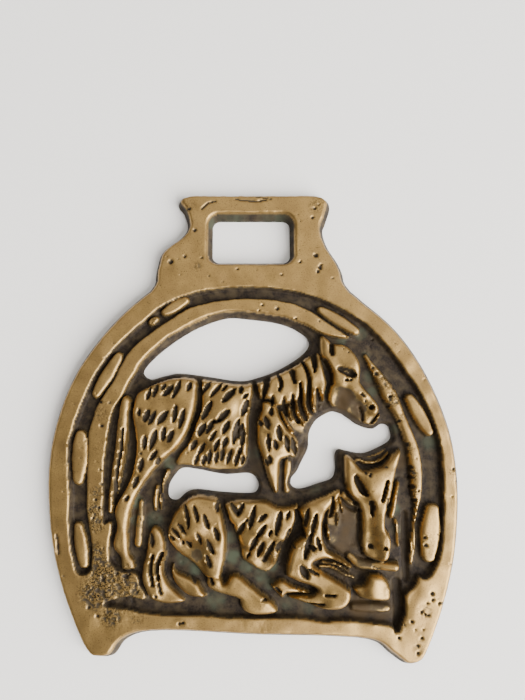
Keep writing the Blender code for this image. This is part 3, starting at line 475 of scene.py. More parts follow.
NECK = [
    (0.2, 6.2), (2.8, 7), (4.6, 7.8), (6.8, 8.8), (8.6, 9.8), (10.2, 10.9), (11.6, 11.6), (12.6, 11.8),
    (13, 10.3), (13.9, 6.5), (13.3, 3.6), (12.6, 2.2), (11.6, 2), (9.4, 2.6), (8.3, 2.6), (6.6, 2.2),
    (4.6, 1.3), (3.4, 2.8), (2, 3), (0.6, 3.6)]
NECK_TOPS = [
    (3, 5, 0.85), (6, 4.6, 0.92), (9, 6, 0.95), (12, 8, 0.9), (7, 7.6, 0.75), (10.5, 9.8, 0.75),
    (12.6, 5.5, 0.8), (9.2, 2.8, 0.75), (12.2, 2.6, 0.55), (5.6, 2.6, 0.85)]

for outline, tops in ((BARREL, BARREL_TOPS), (BREAST, BREAST_TOPS), (NECK, NECK_TOPS)):
    raise_mass(outline, tops, MARE_RELIEF)
print("barrel and neck up to", round(float(z.max() / MM), 2), "mm")

# %% [markdown]
# ## The mare: shoulder and haunch
# The near legs grow out of the shoulder and the haunch without a seam, so each of the two is
# one outline with its leg. They overlap the barrel, which is why they come after it.
# %% Shoulder and haunch
SHOULDER = [
    (2, 2.6), (3.8, 2.4), (4.9, 1), (5.2, 0), (6.3, -1.9), (7.5, -3.1), (8.3, -4.4), (8.4, -6.2), (7.8, -7.6),
    (6.4, -7.8), (5.3, -8.1), (5, -9.6), (4.7, -13.7), (3.7, -13.5), (2.4, -10), (1.5, -7.2),
    (0.9, -5.3), (0.7, -3), (0.9, -0.7), (1.6, 1)]
SHOULDER_TOPS = [
    (3.5, -2, 1), (6.2, -4, 0.95), (2.5, 1.5, 0.8), (3.6, -8, 0.85), (4.2, -13, 0.7), (7.6, -6.6, 0.5),
    (1.3, -4, 0.8)]
HAUNCH = [
    (-20.8, 4.9), (-18, 6.1), (-15, 7), (-12, 7.2), (-10.4, 6.4), (-10.3, 3.5), (-10.9, 0), (-12, -3),
    (-14, -6), (-16.5, -8.3), (-19, -11.2), (-21, -14.2), (-22.1, -17.5), (-22.45, -21), (-22.2, -24.4),
    (-21.2, -25.9), (-21.1, -27.4), (-23.4, -27.4), (-23.8, -25.6), (-25.1, -23.6), (-24.9, -21.4),
    (-24.7, -19.6), (-25.2, -17.6), (-24.6, -15.2), (-23, -12.8), (-22, -10), (-21.6, -6), (-22, -2.5),
    (-22.6, 0.5), (-22, 3.5)]
HAUNCH_TOPS = [
    (-17, -1, 1), (-13, 3, 0.95), (-20.5, 3, 0.8), (-17, 5.8, 0.75), (-12.8, -3, 0.95), (-18, -8, 0.85),
    (-22.5, -14, 0.7), (-23.6, -20, 0.75), (-22.5, -26, 0.6)]

for outline, tops in ((SHOULDER, SHOULDER_TOPS), (HAUNCH, HAUNCH_TOPS)):
    raise_mass(outline, tops, MARE_RELIEF)
print("haunch up to", round(float(z.max() / MM), 2), "mm")

# %% [markdown]
# ## The mare: head
# High tops lie along the brow and the bridge of the nose and low ones along the jaw, so the
# cheek falls away under the cheekbone.
# %% The mare's head
HEAD = [
    (13, 15.1), (12.9, 11.4), (14.3, 9), (14.9, 7.4), (14.2, 4), (14.4, 2.3), (15.5, 1.1), (17.4, 0.3),
    (18.6, -0.6), (20.1, -1.3), (21.6, -1.6), (22.8, -0.5), (23.6, 1.1), (23, 2.8), (21.5, 4.5),
    (20.3, 6.3), (20.3, 9), (19.6, 11.3), (18.5, 12.7), (17, 13.4), (15.1, 13.7), (14.3, 14.5)]
HEAD_TOPS = [
    (17.6, 10.6, 1), (15.2, 10, 0.9), (13.6, 13.8, 0.85), (16.8, 6.6, 1), (19, 5.2, 1), (20.8, 3.6, 1),
    (22.2, 2.2, 1), (22.6, 0.9, 0.9), (22.4, -0.6, 0.35), (17.6, 3.4, 0.55), (15.2, 4.4, 0.55),
    (16.2, 2.2, 0.32), (19.4, 1.6, 0.42), (19, 0, 0.3), (21, -0.6, 0.3), (20.9, 0.8, 0.45)]

raise_mass(HEAD, HEAD_TOPS, MARE_RELIEF)
print("mare up to", round(float(z.max() / MM), 2), "mm")

# %% [markdown]
# ## The mare's folds and mane
# Long grooves part the tail from the thigh and the belly from the shoulder. Each is its depth
# and its nodes. The mane hangs in thin strands over the breast, so the grooves are cut first
# and the strands are laid back on.
# %% Folds and mane
MARE_FOLDS = [
    (1.6, [(-22.2, 3.8, 0.25), (-22.7, 1.5, 0.3), (-22.7, -0.5, 0.35), (-22.5, -3, 0.55), (-22.2, -6, 0.7),
           (-22.5, -9, 0.75), (-23, -11.5, 0.65), (-23.8, -13.5, 0.5), (-25, -15.7, 0.35)]),
    (1.0, [(-23.9, -2.3, 0.2), (-24.2, -6, 0.35), (-24.7, -10, 0.35), (-25, -13, 0.4), (-25.3, -15.9, 0.25)]),
    (1.5, [(-9.9, 6, 0.4), (-9.9, 3, 0.45), (-10, 1, 0.45), (-10.7, -1, 0.5), (-11.3, -3, 0.55),
           (-12.5, -5, 0.6), (-13.9, -6.8, 0.5)]),
    (2.2, [(0.5, 2.4, 0.3), (0, 1, 0.45), (-0.05, -3, 0.5), (0, -6, 0.65), (0.4, -9.3, 1.1),
           (1.4, -11, 0.6)]),
    (1.2, [(1.4, 1.2, 0.5), (0.6, 0.6, 0.8), (0.4, -0.6, 0.7)]),
    (1.6, [(0.2, 6.3, 0.5), (0.6, 4.8, 0.6), (1, 3.1, 0.3)]),
    (1.6, [(2.8, 6.7, 0.6), (2.4, 5, 0.55), (2, 3.3, 0.3)]),
    (0.9, [(0.3, 6.4, 0.5), (2.8, 6.8, 0.5)]),
    (1.3, [(4.7, 7.6, 0.3), (5.3, 6, 0.42), (5, 4.6, 0.25)]),
    (1.3, [(7.4, 8.2, 0.6), (7.9, 6.2, 0.3)]),
    (1.6, [(8.9, 6.1, 0.25), (8.95, 4, 0.42), (8.75, 2.4, 0.5), (9.2, 1, 0.5), (10, -0.6, 0.4)]),
    (1.6, [(9.4, 10.2, 0.3), (10.4, 7.8, 0.38), (10.5, 5.4, 0.45), (10.4, 3, 0.5), (10.7, 1.2, 0.45),
           (11.4, 0.3, 0.3)]),
    (1.7, [(11.6, 11.2, 0.75), (11.7, 9.6, 0.5), (11.6, 8.1, 0.15)]),
    (1.2, [(12, 5, 0.25), (12.3, 3, 0.5), (12.3, 1.4, 0.5)]),
    (1.3, [(7.4, 3.8, 0.2), (7.5, 2.2, 0.45), (7.9, 0.6, 0.4), (8.6, -1, 0.45)]),
    (1.1, [(5.8, 3.3, 0.15), (5.9, 2, 0.42), (6.3, 0.7, 0.4)]),
    (1.2, [(4.8, 1.7, 0.35), (5.6, 1.3, 0.55), (6.2, 0.4, 0.6)]),
    (1.0, [(13.6, 10.4, 0.35), (14.6, 8.6, 0.35), (14.9, 6, 0.35)])]
MANE = [
    [(7, 2, 0.2, 0.75), (6.85, 1.1, 0.28, 0.8), (7.05, 0, 0.26, 0.75), (7.4, -0.9, 0.2, 0.6)],
    [(8.15, 2.4, 0.3, 0.9), (8.25, 1, 0.3, 0.85), (8.8, -0.1, 0.32, 0.8), (9.6, -1.6, 0.25, 0.6)],
    [(9.8, 4.6, 0.35, 0.9), (9.6, 2.6, 0.36, 0.85), (10, 1.1, 0.34, 0.8), (10.6, -0.1, 0.25, 0.65)],
    [(11.5, 5.2, 0.35, 0.85), (11.25, 3, 0.3, 0.85), (11.45, 1.3, 0.25, 0.7)],
    [(12.8, 5.8, 0.35, 0.85), (13.05, 4, 0.3, 0.8), (13.2, 3, 0.2, 0.65)],
    [(5.4, 0.6, 0.3, 0.98), (6.2, -1.2, 0.35, 0.98), (7.4, -2.9, 0.3, 0.85)]]

for deep, nodes in MARE_FOLDS:
    cut(nodes, deep * MM)
for nodes in MANE:
    raise_limb(nodes, MARE_RELIEF)
print("folds:", len(MARE_FOLDS), "strands of mane:", len(MANE))

# %% [markdown]
# ## The mare's coat
# Random hair would look like a brush. The coat is some sixty short strokes instead, placed one
# by one as the engraver placed them.
# %% The mare's coat
MARE_COAT = [
    (-19.6, 3.2, -19, 5, 0.3), (-18.4, 3.7, -17.8, 5.6, 0.35), (-17, 4.9, -16.2, 5.6, 0.3),
    (-16.5, 3.8, -14.9, 5.4, 0.45), (-14.7, 3.4, -13.5, 6.2, 0.4), (-12, 4.7, -11.6, 6.1, 0.35),
    (-21, 0.2, -21, 1.2, 0.3), (-19.9, -0.9, -19.2, 0.9, 0.5), (-19, -1.4, -18, 0.6, 0.4),
    (-17.3, -1.3, -15.9, 0.7, 0.45), (-14.6, -1, -14.1, 1.7, 0.4), (-13.5, -2.1, -12.6, 0.9, 0.4),
    (-20, -6, -19.8, -3.8, 0.35), (-18.8, -6, -17.8, -2.9, 0.45), (-16.5, -4.5, -16.2, -2.4, 0.4),
    (-15.5, -4.8, -14.7, -2.8, 0.4), (-18.6, -8, -17.6, -6.6, 0.35), (-17.4, -8.8, -17.1, -7.7, 0.3),
    (-20.5, -10, -20.2, -8, 0.4), (-21.7, -13, -21, -11.2, 0.35), (-23, -15.4, -22.6, -14.6, 0.3),
    (-9.3, -0.4, -7.6, 2.4, 0.5), (-8.3, -3, -7.2, -0.9, 0.4), (-7.4, -1.1, -6, -0.9, 0.25),
    (-6.2, -0.9, -4.5, 0.8, 0.5), (-5.4, -3.1, -4.3, -1.2, 0.4), (-9.8, -3.5, -8.8, -1.6, 0.5),
    (-7.7, -4.5, -6.7, -3, 0.3), (-3.6, -4.8, -2.5, -0.8, 0.42), (-2.6, -3.8, -1.8, -1.6, 0.45),
    (-2.1, -5.4, -1.5, -2.8, 0.35), (-7, -6.4, -6.1, -4.4, 0.3), (-5.4, -5.8, -4.8, -4.1, 0.35),
    (-9.9, -7, -9, -5.2, 0.35), (-11.4, -6.2, -10.4, -4.6, 0.4), (-5.4, 2.6, -3.4, 4.7, 0.5),
    (-7.6, 3.6, -5.9, 5.9, 0.35), (-9.4, 4, -8, 6.2, 0.35), (-5.6, 4.6, -4.9, 5.6, 0.25),
    (-2.3, 4.2, -2, 5.4, 0.32), (-1.8, 0.2, -1, 2.8, 0.45), (-1.7, 3.3, -1, 4, 0.25),
    (-8.2, -8.6, -7.8, -6.4, 0.35), (-5.8, -8.2, -5.4, -6.2, 0.35), (-4.7, -8.8, -3.9, -6.3, 0.3),
    (-3.2, -9, -2.6, -6.8, 0.3), (-2.5, -7, -2.1, -5.8, 0.35), (-6.9, -8.6, -6.5, -6.8, 0.3),
    (-9.2, -8.8, -8.8, -7.4, 0.3), (-10.6, -8.8, -10.1, -7.2, 0.3), (-1.9, -8.8, -1.7, -7.4, 0.25),
    (3.4, 0.1, 3.5, 1.2, 0.35), (3.6, 1.8, 3.7, 3.6, 0.25), (2.3, -0.3, 2.9, -2.3, 0.42),
    (4.8, -2, 5.1, -4.4, 0.4), (2.9, -3.4, 3, -6.2, 0.3), (4.1, -4.5, 4.3, -6, 0.35),
    (6.1, -3.8, 6.6, -6.4, 0.42), (7.3, -4.2, 7.8, -6.8, 0.4), (3, -7.4, 3.3, -8.5, 0.3),
    (2.4, -8, 2.8, -8.8, 0.3), (1.3, -0.9, 1.6, -1.6, 0.35)]

cut_strokes(MARE_COAT, 0.85 * MM)
print("mare's strokes:", len(MARE_COAT))

# %% [markdown]
# ## The mare's face
# An eye is a deep oval with a ball left in it. The slot of the ear is cut straight down. The
# nostril is the largest of the punches, given as x, y, half width and depth, and small pits lie
# under the eye and along the nose. The chin's thin edge stands proud of the opening below it.
# %% The mare's face
MARE_EYE = [(16.4, 8.7, 0.5), (17.3, 8.4, 0.68), (18.2, 7.9, 0.72), (18.9, 7.5, 0.5)]
MARE_EYEBALL = [(17.3, 8.5, 0.16, 0.56), (18, 8.2, 0.2, 0.56)]
MARE_EAR = [(14.9, 13.3, 0.42), (14.9, 12.4, 0.52), (15, 11.6, 0.42)]
MARE_PUNCHES = [
    (17.6, 6.6, 0.33, 0.8), (18.4, 6.6, 0.26, 0.6), (22.05, 1.6, 0.55, 1.5), (20.25, 3.95, 0.3, 0.6),
    (20.6, 3.6, 0.24, 0.5), (20.9, 2.7, 0.2, 0.4)]
MARE_MOUTH = [(19.9, 1.6, 0.25), (20.4, 0.4, 0.35), (20.6, -0.8, 0.3)]
MARE_CHIN = [(21, -1.3, 0.2, 0.4), (22.3, -1.5, 0.2, 0.42), (23.2, -0.8, 0.2, 0.42), (23.8, 0.2, 0.2, 0.4)]

cut(MARE_EYE, 1.35 * MM)
raise_limb(MARE_EYEBALL, MARE_RELIEF)
cut(MARE_EAR, 1.3 * MM)
for hole in MARE_PUNCHES:
    punch(*hole)
cut(MARE_MOUTH, 0.7 * MM)
raise_limb(MARE_CHIN, MARE_RELIEF)
print("punches in the mare's face:", len(MARE_PUNCHES))

# %% [markdown]
# ## The foal: what lies behind it
# It lies in front of her hooves with its hind leg thrown forward and looks out of the frame.
# Thin low limbs stand for ridges that are half lost in dirt. The tail and the far hind foot lie
# low too, and the neck is a hollow between the shoulder and the cheek.
# %% The foal's tail, far foot and neck
FOAL_LIMBS = [
    [(18.2, -34, 0.7, 0.24), (21, -34, 0.9, 0.28), (24, -34.1, 0.8, 0.26)],
    [(26.8, -12.2, 0.35, 0.4), (26.1, -14.6, 0.45, 0.55), (25.7, -16.6, 0.5, 0.55), (25.4, -18.2, 0.4, 0.45)],
    [(26.2, -19, 0.35, 0.25), (26.4, -21.4, 0.3, 0.22), (26.5, -23.4, 0.3, 0.2)],
    [(18.6, -8.6, 0.25, 0.3), (19.6, -8.1, 0.3, 0.32), (21.2, -8.6, 0.3, 0.32), (23.6, -8.2, 0.3, 0.3),
     (25, -6.8, 0.25, 0.3)],
    [(19.4, -7.4, 0.25, 0.24), (21, -7.2, 0.3, 0.26), (23.2, -7, 0.3, 0.26), (24.6, -6, 0.25, 0.24)],
    [(12, -26.9, 0.25, 0.24), (14, -27, 0.25, 0.28), (16.4, -28.2, 0.25, 0.28), (18.4, -28.9, 0.25, 0.2)],
    [(12.6, -26.2, 0.25, 0.24), (15, -26.6, 0.25, 0.28), (17.4, -27.8, 0.25, 0.26)]]
FOAL_TAIL = [
    (-17.9, -19.9), (-16.7, -20.3), (-16.1, -21.6), (-15.8, -23), (-15.6, -24.8), (-15.9, -27.3),
    (-14.9, -29.7), (-12.3, -32.1), (-12.6, -33), (-15.5, -33.3), (-17.7, -32.6), (-18.9, -31.3),
    (-19.8, -29), (-19.6, -27), (-19.1, -24), (-18.7, -21.5)]
FOAL_TAIL_TOPS = [(-17.5, -21.5, 0.6), (-17.5, -26, 0.72), (-18, -30, 0.72), (-14, -32.3, 0.6)]
FOAL_FAR_FOOT = [
    (-14.3, -26.4), (-13.6, -27.6), (-11.5, -28.5), (-9.8, -29.3), (-8.8, -30.7), (-8, -31.8),
    (-9.3, -32.2), (-11.4, -31.7), (-13.8, -29.8), (-14.5, -28)]
FOAL_FAR_FOOT_TOPS = [(-13, -28.6, 0.6), (-10, -31, 0.62)]
FOAL_NECK = [
    (14, -16.4), (15.6, -14.6), (17.4, -13.4), (18.2, -14.8), (19.6, -16.6), (20, -18.5),
    (20, -21), (20, -23.5), (20.6, -25.3), (18.6, -26.2), (16.6, -25), (15, -24), (13.5, -22.6),
    (13, -20)]
FOAL_NECK_TOPS = [
    (15, -16, 0.4), (17, -15, 0.34), (18, -17.5, 0.22), (17, -21, 0.12), (14.4, -20, 0.18),
    (18.9, -22, 0.06), (18.7, -24.6, 0.1)]

for nodes in FOAL_LIMBS:
    raise_limb(nodes, FOAL_RELIEF)
for outline, tops in ((FOAL_TAIL, FOAL_TAIL_TOPS), (FOAL_FAR_FOOT, FOAL_FAR_FOOT_TOPS),
                      (FOAL_NECK, FOAL_NECK_TOPS)):
    raise_mass(outline, tops, FOAL_RELIEF)
print("low ridges:", len(FOAL_LIMBS))

# %% [markdown]
# ## The foal: body and hindquarters
# The haunch is drawn up, and the hind leg comes out from under it, so the leg is laid on before
# the haunch and the body before both.
# %% Body, hind leg and haunch
FOAL_BODY = [
    (-5, -16.1), (-3, -15.3), (0, -15.2), (2.5, -15.3), (4.6, -16.3), (6.5, -16.4), (8.2, -16),
    (8.2, -17.8), (7.8, -19.3), (7.3, -20.6), (6.8, -21.6), (5.5, -23), (4.9, -25), (4, -26.8),
    (2.5, -28), (0.2, -27), (-1.8, -25.6), (-2.2, -23.4), (-2.7, -21.6), (-3.4, -19.9), (-4.5, -18.2)]
FOAL_BODY_TOPS = [
    (1, -19.5, 1), (5, -20, 0.95), (-3, -17.6, 0.85), (1, -15.8, 0.72), (6.6, -17.4, 0.75),
    (2, -27, 0.2), (0, -25.5, 0.35), (-0.5, -22.5, 0.75), (3.4, -23.6, 0.75), (-1.4, -24.6, 0.3)]
FOAL_HIND_LEG = [
    (-7.6, -28.4), (-5.7, -28.4), (-4.9, -29.7), (-3.9, -28.5), (-2.7, -28.1), (0, -30), (2.7, -31.9),
    (4.2, -33.3), (4.3, -34.6), (1.5, -35), (-1, -34.6), (-2, -33.6), (-2.4, -32.3), (-4.8, -31.6),
    (-7.2, -30.7), (-8.2, -29.4)]
FOAL_HIND_LEG_TOPS = [(-5.5, -30.4, 0.75), (-2.5, -29.6, 0.8), (1, -33, 0.85), (3.6, -34, 0.8)]
FOAL_HAUNCH = [
    (-15.3, -20.6), (-14.4, -17.9), (-12.8, -15.9), (-11, -14.6), (-8.5, -14.2), (-6.4, -15),
    (-5.5, -17.2), (-5, -19.3), (-4.6, -21.3), (-4.8, -24.5), (-5.2, -27.2), (-5.9, -28.8), (-8.3, -28.6),
    (-10.6, -26.4), (-13.6, -24.2), (-15, -22.4)]
FOAL_HAUNCH_TOPS = [
    (-10, -19, 1), (-6.3, -22, 0.97), (-13.8, -20, 0.8), (-9, -14.9, 0.75), (-7.5, -26, 0.8),
    (-12, -24.2, 0.45), (-9.5, -27, 0.4), (-6, -28, 0.75)]

for outline, tops in ((FOAL_BODY, FOAL_BODY_TOPS), (FOAL_HIND_LEG, FOAL_HIND_LEG_TOPS),
                      (FOAL_HAUNCH, FOAL_HAUNCH_TOPS)):
    raise_mass(outline, tops, FOAL_RELIEF)
print("foal's body up to", round(float(z.max() / MM), 2), "mm")

# %% [markdown]
# ## The foal: forelegs
# Shoulder, forearm and the folded near leg are one outline. Its hoof, the knee beside it and
# the far foreleg in the shadow above the knee are pieces of their own.
# %% Forelegs
FOAL_FOREHAND = [
    (8.6, -16.6), (10.6, -15.4), (13.2, -14.5), (16, -13.3), (15.6, -15), (13.8, -16.8), (13, -18.6),
    (12.8, -21), (13.2, -23), (14, -24.2), (15.6, -24.8), (17.8, -26.6), (18, -27.3), (16, -26.4),
    (13.4, -25.5), (11, -26.3), (12.6, -27.7), (15, -29), (17.2, -30.3), (17.6, -31.6), (17.1, -33.1),
    (15.7, -34), (13, -34.1), (10.5, -33.4), (8, -32.6), (6.4, -31.9), (10.3, -31.7), (11.4, -30.7),
    (8, -29.2), (6.2, -28.4), (6.3, -26.5), (6.9, -24), (7.7, -22.4), (9, -21.4), (9.2, -19.2),
    (8.6, -17.9)]
FOAL_FOREHAND_TOPS = [
    (10.5, -18.5, 0.95), (11.6, -22.5, 0.95), (8.4, -25.5, 0.85), (12, -29.4, 0.85), (15.6, -31.5, 0.9),
    (14, -14.9, 0.7), (16.5, -26, 0.7), (11, -32.6, 0.7)]
FOAL_HOOF = [
    (3.4, -30.1), (5.3, -29), (7.2, -30), (9.8, -30.9), (10.2, -31.5), (6.3, -31.5), (5.4, -32.3),
    (4.3, -31.3)]
FOAL_HOOF_TOPS = [(5.5, -30.5, 0.72), (9, -31, 0.6)]
FOAL_KNEE = [
    (18.2, -30.4), (19.9, -29.9), (20.8, -28.3), (22, -28), (23.4, -28.4), (24.3, -29.4), (24.7, -31),
    (24.3, -32.5), (22, -32.7), (19.4, -32.3), (18.5, -31.5)]
FOAL_KNEE_TOPS = [(21.5, -30.5, 0.85), (24, -30.5, 0.7), (18.8, -31, 0.6)]
FOAL_FAR_LEG = [
    (17.6, -25.2, 0.7, 0.3), (19.2, -26.4, 0.95, 0.42), (21, -26.7, 0.9, 0.5), (23.2, -26.7, 0.85, 0.58),
    (25.5, -26.9, 0.95, 0.7)]

for outline, tops in ((FOAL_FOREHAND, FOAL_FOREHAND_TOPS), (FOAL_HOOF, FOAL_HOOF_TOPS),
                      (FOAL_KNEE, FOAL_KNEE_TOPS)):
    raise_mass(outline, tops, FOAL_RELIEF)
raise_limb(FOAL_FAR_LEG, FOAL_RELIEF)
print("forelegs up to", round(float(z.max() / MM), 2), "mm")

# %% [markdown]
# ## The foal: head
# Its head looks out of the frame and is the highest place of all. The tops run down the ridge
# of the nose, and its left cheek, away from the light, lies lower.
# %% The foal's head
FOAL_HEAD = [
    (17.1, -7.3), (18.4, -7.9), (20.2, -9.8), (22, -9.7), (24, -9), (25.6, -7.2), (27.2, -6.1),
    (27.3, -7.3), (26.4, -10), (25.7, -13), (25, -15.6), (24.3, -17.5), (24.1, -19.7), (24.8, -21.2),
    (25, -23), (24.6, -25.3), (23.6, -26), (21.5, -25.6), (20.2, -24.9), (19.6, -23.4), (19.8, -20),
    (19.8, -17.8), (18.9, -15.8), (17.5, -14), (17, -11.5)]
FOAL_HEAD_TOPS = [
    (22.4, -12.5, 0.95), (23, -16, 1), (23.3, -19.5, 1), (23.6, -22.5, 1.05), (20.6, -19, 0.6),
    (20.6, -22, 0.55), (20.8, -24, 0.5), (18.2, -12, 0.78), (17.7, -8.6, 0.7), (26.2, -8.2, 0.72),
    (25, -11.5, 0.85), (24, -25, 0.85), (19.8, -16.6, 0.66), (21.8, -24.6, 0.62)]

raise_mass(FOAL_HEAD, FOAL_HEAD_TOPS, FOAL_RELIEF)
print("foal up to", round(float(z.max() / MM), 2), "mm")

# %% [markdown]
# ## The foal's folds and coat
# Again the folds come first. Threads of hair run down the hollow of the neck, and the strokes
# of the coat are cut last.
# %% The foal's folds and coat
FOAL_FOLDS = [
    (1.2, [(-17.9, -24.8, 0.3), (-18.1, -27.5, 0.35), (-17.7, -30, 0.3)]),
    (1.4, [(-16.2, -24.4, 0.35), (-16.9, -26.5, 0.45), (-16.8, -28.9, 0.3)]),
    (0.8, [(-16.7, -29.7, 0.25), (-16.1, -31.3, 0.25)]),
    (2.2, [(7.9, -17, 0.35), (8.1, -19, 0.45), (7.7, -20.4, 0.5), (7, -22, 0.5), (6, -23.6, 0.6),
           (5.5, -26, 0.65), (5.6, -28.4, 0.55)]),
    (1.6, [(8.7, -20.3, 0.5), (9.3, -21.4, 0.35)]),
    (1.3, [(14.6, -14.8, 0.25), (14.65, -16.4, 0.4), (14.3, -18.2, 0.3)]),
    (1.3, [(13.4, -17.6, 0.35), (13, -19.4, 0.45), (12.9, -21.4, 0.4), (13.6, -23.3, 0.4)]),
    (1.0, [(17.3, -13.6, 0.35), (17.9, -14.8, 0.4), (19, -16, 0.35)]),
    (1.0, [(16.2, -15, 0.25), (17.3, -16.4, 0.45), (18.6, -17, 0.5)]),
    (0.9, [(19.5, -17.2, 0.35), (19.5, -19.6, 0.4), (19.3, -22.4, 0.4), (19.9, -24.6, 0.3)])]
FOAL_THREADS = [
    [(13.5, -19.8, 0.2, 0.6), (13.7, -20.9, 0.3, 0.68), (14, -22.3, 0.2, 0.55)],
    [(15.9, -15, 0.2, 0.6), (16.2, -16.4, 0.28, 0.62), (16.4, -17.4, 0.2, 0.55)],
    [(15.5, -17.6, 0.22, 0.52), (15.6, -18.6, 0.25, 0.5), (15.4, -19.6, 0.2, 0.45)],
    [(17.4, -15, 0.25, 0.55), (18.2, -15.6, 0.2, 0.5)],
    [(10.8, -25.9, 0.2, 0.66), (12.6, -25.1, 0.35, 0.75), (15, -25.3, 0.4, 0.78), (17.4, -26.8, 0.3, 0.7)]]
FOAL_COAT = [
    (-12, -16.2, -11.4, -19.7, 0.3), (-13.2, -19.3, -12, -20.9, 0.25), (-14.4, -20.1, -12.9, -21.6, 0.25),
    (-10.4, -16.4, -9.8, -18.8, 0.28), (-8.7, -17.8, -7.8, -20, 0.28), (-9.8, -20.8, -9.2, -22.8, 0.25),
    (-6.7, -20.1, -6, -21.9, 0.35), (-8, -22.2, -6.9, -24.2, 0.35), (-8.2, -24.8, -7.4, -26.6, 0.35),
    (-6.4, -15.5, -6.3, -17.1, 0.32), (-5.3, -16.2, -4.4, -18.6, 0.4), (-3.9, -15.8, -2.6, -17.8, 0.32),
    (-2.6, -17.8, -1.7, -15.9, 0.32), (0.4, -16.5, -0.5, -20, 0.38), (2.4, -17.7, 1.3, -18.7, 0.3),
    (5.1, -17.3, 4.3, -20.9, 0.42), (6.7, -17.2, 6.2, -18.6, 0.25), (-1.5, -19.3, -2.6, -21.3, 0.38),
    (2.4, -19.5, 0.9, -21.6, 0.35), (0.9, -21.5, -0.3, -23.9, 0.38), (1.9, -22.8, 1, -25, 0.38),
    (3.9, -22.5, 2.1, -26, 0.38), (5.1, -22.5, 4.5, -23.9, 0.42), (-0.8, -18.6, -1.1, -18.9, 0.2),
    (10, -16.8, 9.6, -19.6, 0.38), (11.5, -17.6, 10.5, -21.5, 0.32), (10.3, -21.3, 9.5, -25, 0.45),
    (10.3, -23.2, 11.2, -23.7, 0.35), (11.6, -21.7, 12.2, -23.6, 0.32), (8.7, -26.6, 9.8, -28.4, 0.55),
    (10, -27, 11.7, -28.1, 0.22), (12.8, -31.6, 14.6, -31.6, 0.22), (10, -33, 13.2, -33.1, 0.16),
    (4, -30.2, 5, -31.1, 0.22), (1.8, -32.2, 2.6, -32.3, 0.15), (-18.2, -21.3, -18, -23.3, 0.3),
    (-7.4, -28.6, -6.9, -29.6, 0.22), (-14.7, -21.4, -13.8, -22.1, 0.2), (-12.6, -22.1, -12.2, -23, 0.2),
    (-11.8, -22.4, -11, -23.4, 0.2), (6.7, -20.2, 6.1, -22, 0.25), (6.1, -22.7, 5.6, -24.1, 0.22),
    (-0.5, -24.5, -0.9, -25.4, 0.2), (3.5, -20.4, 3, -21.3, 0.2), (-3.4, -19.4, -3.9, -20.6, 0.22)]

for deep, nodes in FOAL_FOLDS:
    cut(nodes, deep * MM)
for nodes in FOAL_THREADS:
    raise_limb(nodes, FOAL_RELIEF)
cut_strokes(FOAL_COAT, 0.95 * MM)
print("foal's strokes:", len(FOAL_COAT))

# %% [markdown]
# ## The foal's face
# The dark slots beside the brow are the hollows in front of its ears, and the two eyes below
# them are narrow. Punches make the nostrils and four small pits. Two dark furrows part the foal
# from the web and from the foot of the frame.
# %% The foal's face and the furrows
FOAL_SLOTS = [
    (1.5, [(18.9, -11.1, 0.4), (19.4, -12.2, 0.62), (20.1, -13.5, 0.62), (20.7, -14.3, 0.35)]),
    (1.3, [(24.5, -11.8, 0.25), (24.1, -13.3, 0.38), (23.5, -15.1, 0.36)]),
    (1.3, [(21.5, -15.5, 0.45), (21.75, -16.4, 0.5), (21.8, -17.8, 0.25)]),
    (0.7, [(24.6, -14.9, 0.3), (24.4, -16.4, 0.3)])]
FOAL_PUNCHES = [
    (21.25, -23.3, 0.5, 0.8), (23.75, -23.5, 0.4, 1.1), (20.7, -10.4, 0.26, 0.45),
    (21.3, -10.9, 0.26, 0.45), (21.5, -10.6, 0.26, 0.45), (24.4, -9.4, 0.26, 0.45)]
FURROWS = [
    [(27.9, -17.6, 0.5), (27.9, -22, 0.75), (27.7, -29.3, 0.65)],
    [(26, -29.8, 0.9), (26.2, -33.6, 0.9), (25.8, -37.6, 0.6)]]

for deep, nodes in FOAL_SLOTS:
    cut(nodes, deep * MM)
for hole in FOAL_PUNCHES:
    punch(*hole)
for nodes in FURROWS:
    cut(nodes, 0.5 * MM, PIT_FLOOR)
print("slots and eyes:", len(FOAL_SLOTS), "punches:", len(FOAL_PUNCHES))

# %% [markdown]
# ## Where the skin of the casting is left
# Sand leaves a fine grain on the metal. Polishing takes it off the high places and leaves it in
# the hollows and in the corners that a cloth can't reach. So the grain is strong in a few
# patches and absent elsewhere.
# %% Rough patches
def patch(spots):
    """How strongly each place lies in the patches, 0 to 1. A spot is x, y, radius, strength,
    and its strength fades by smooth_step from three eighths of the radius to nothing at it."""
    strength = np.zeros(x.shape)
    for px, py, radius, share in spots:
        out = np.hypot(wx / MM - px, wy / MM - py) / radius
        strength = np.maximum(strength, share * smooth_step(1.6 * (1 - out)))
    return strength


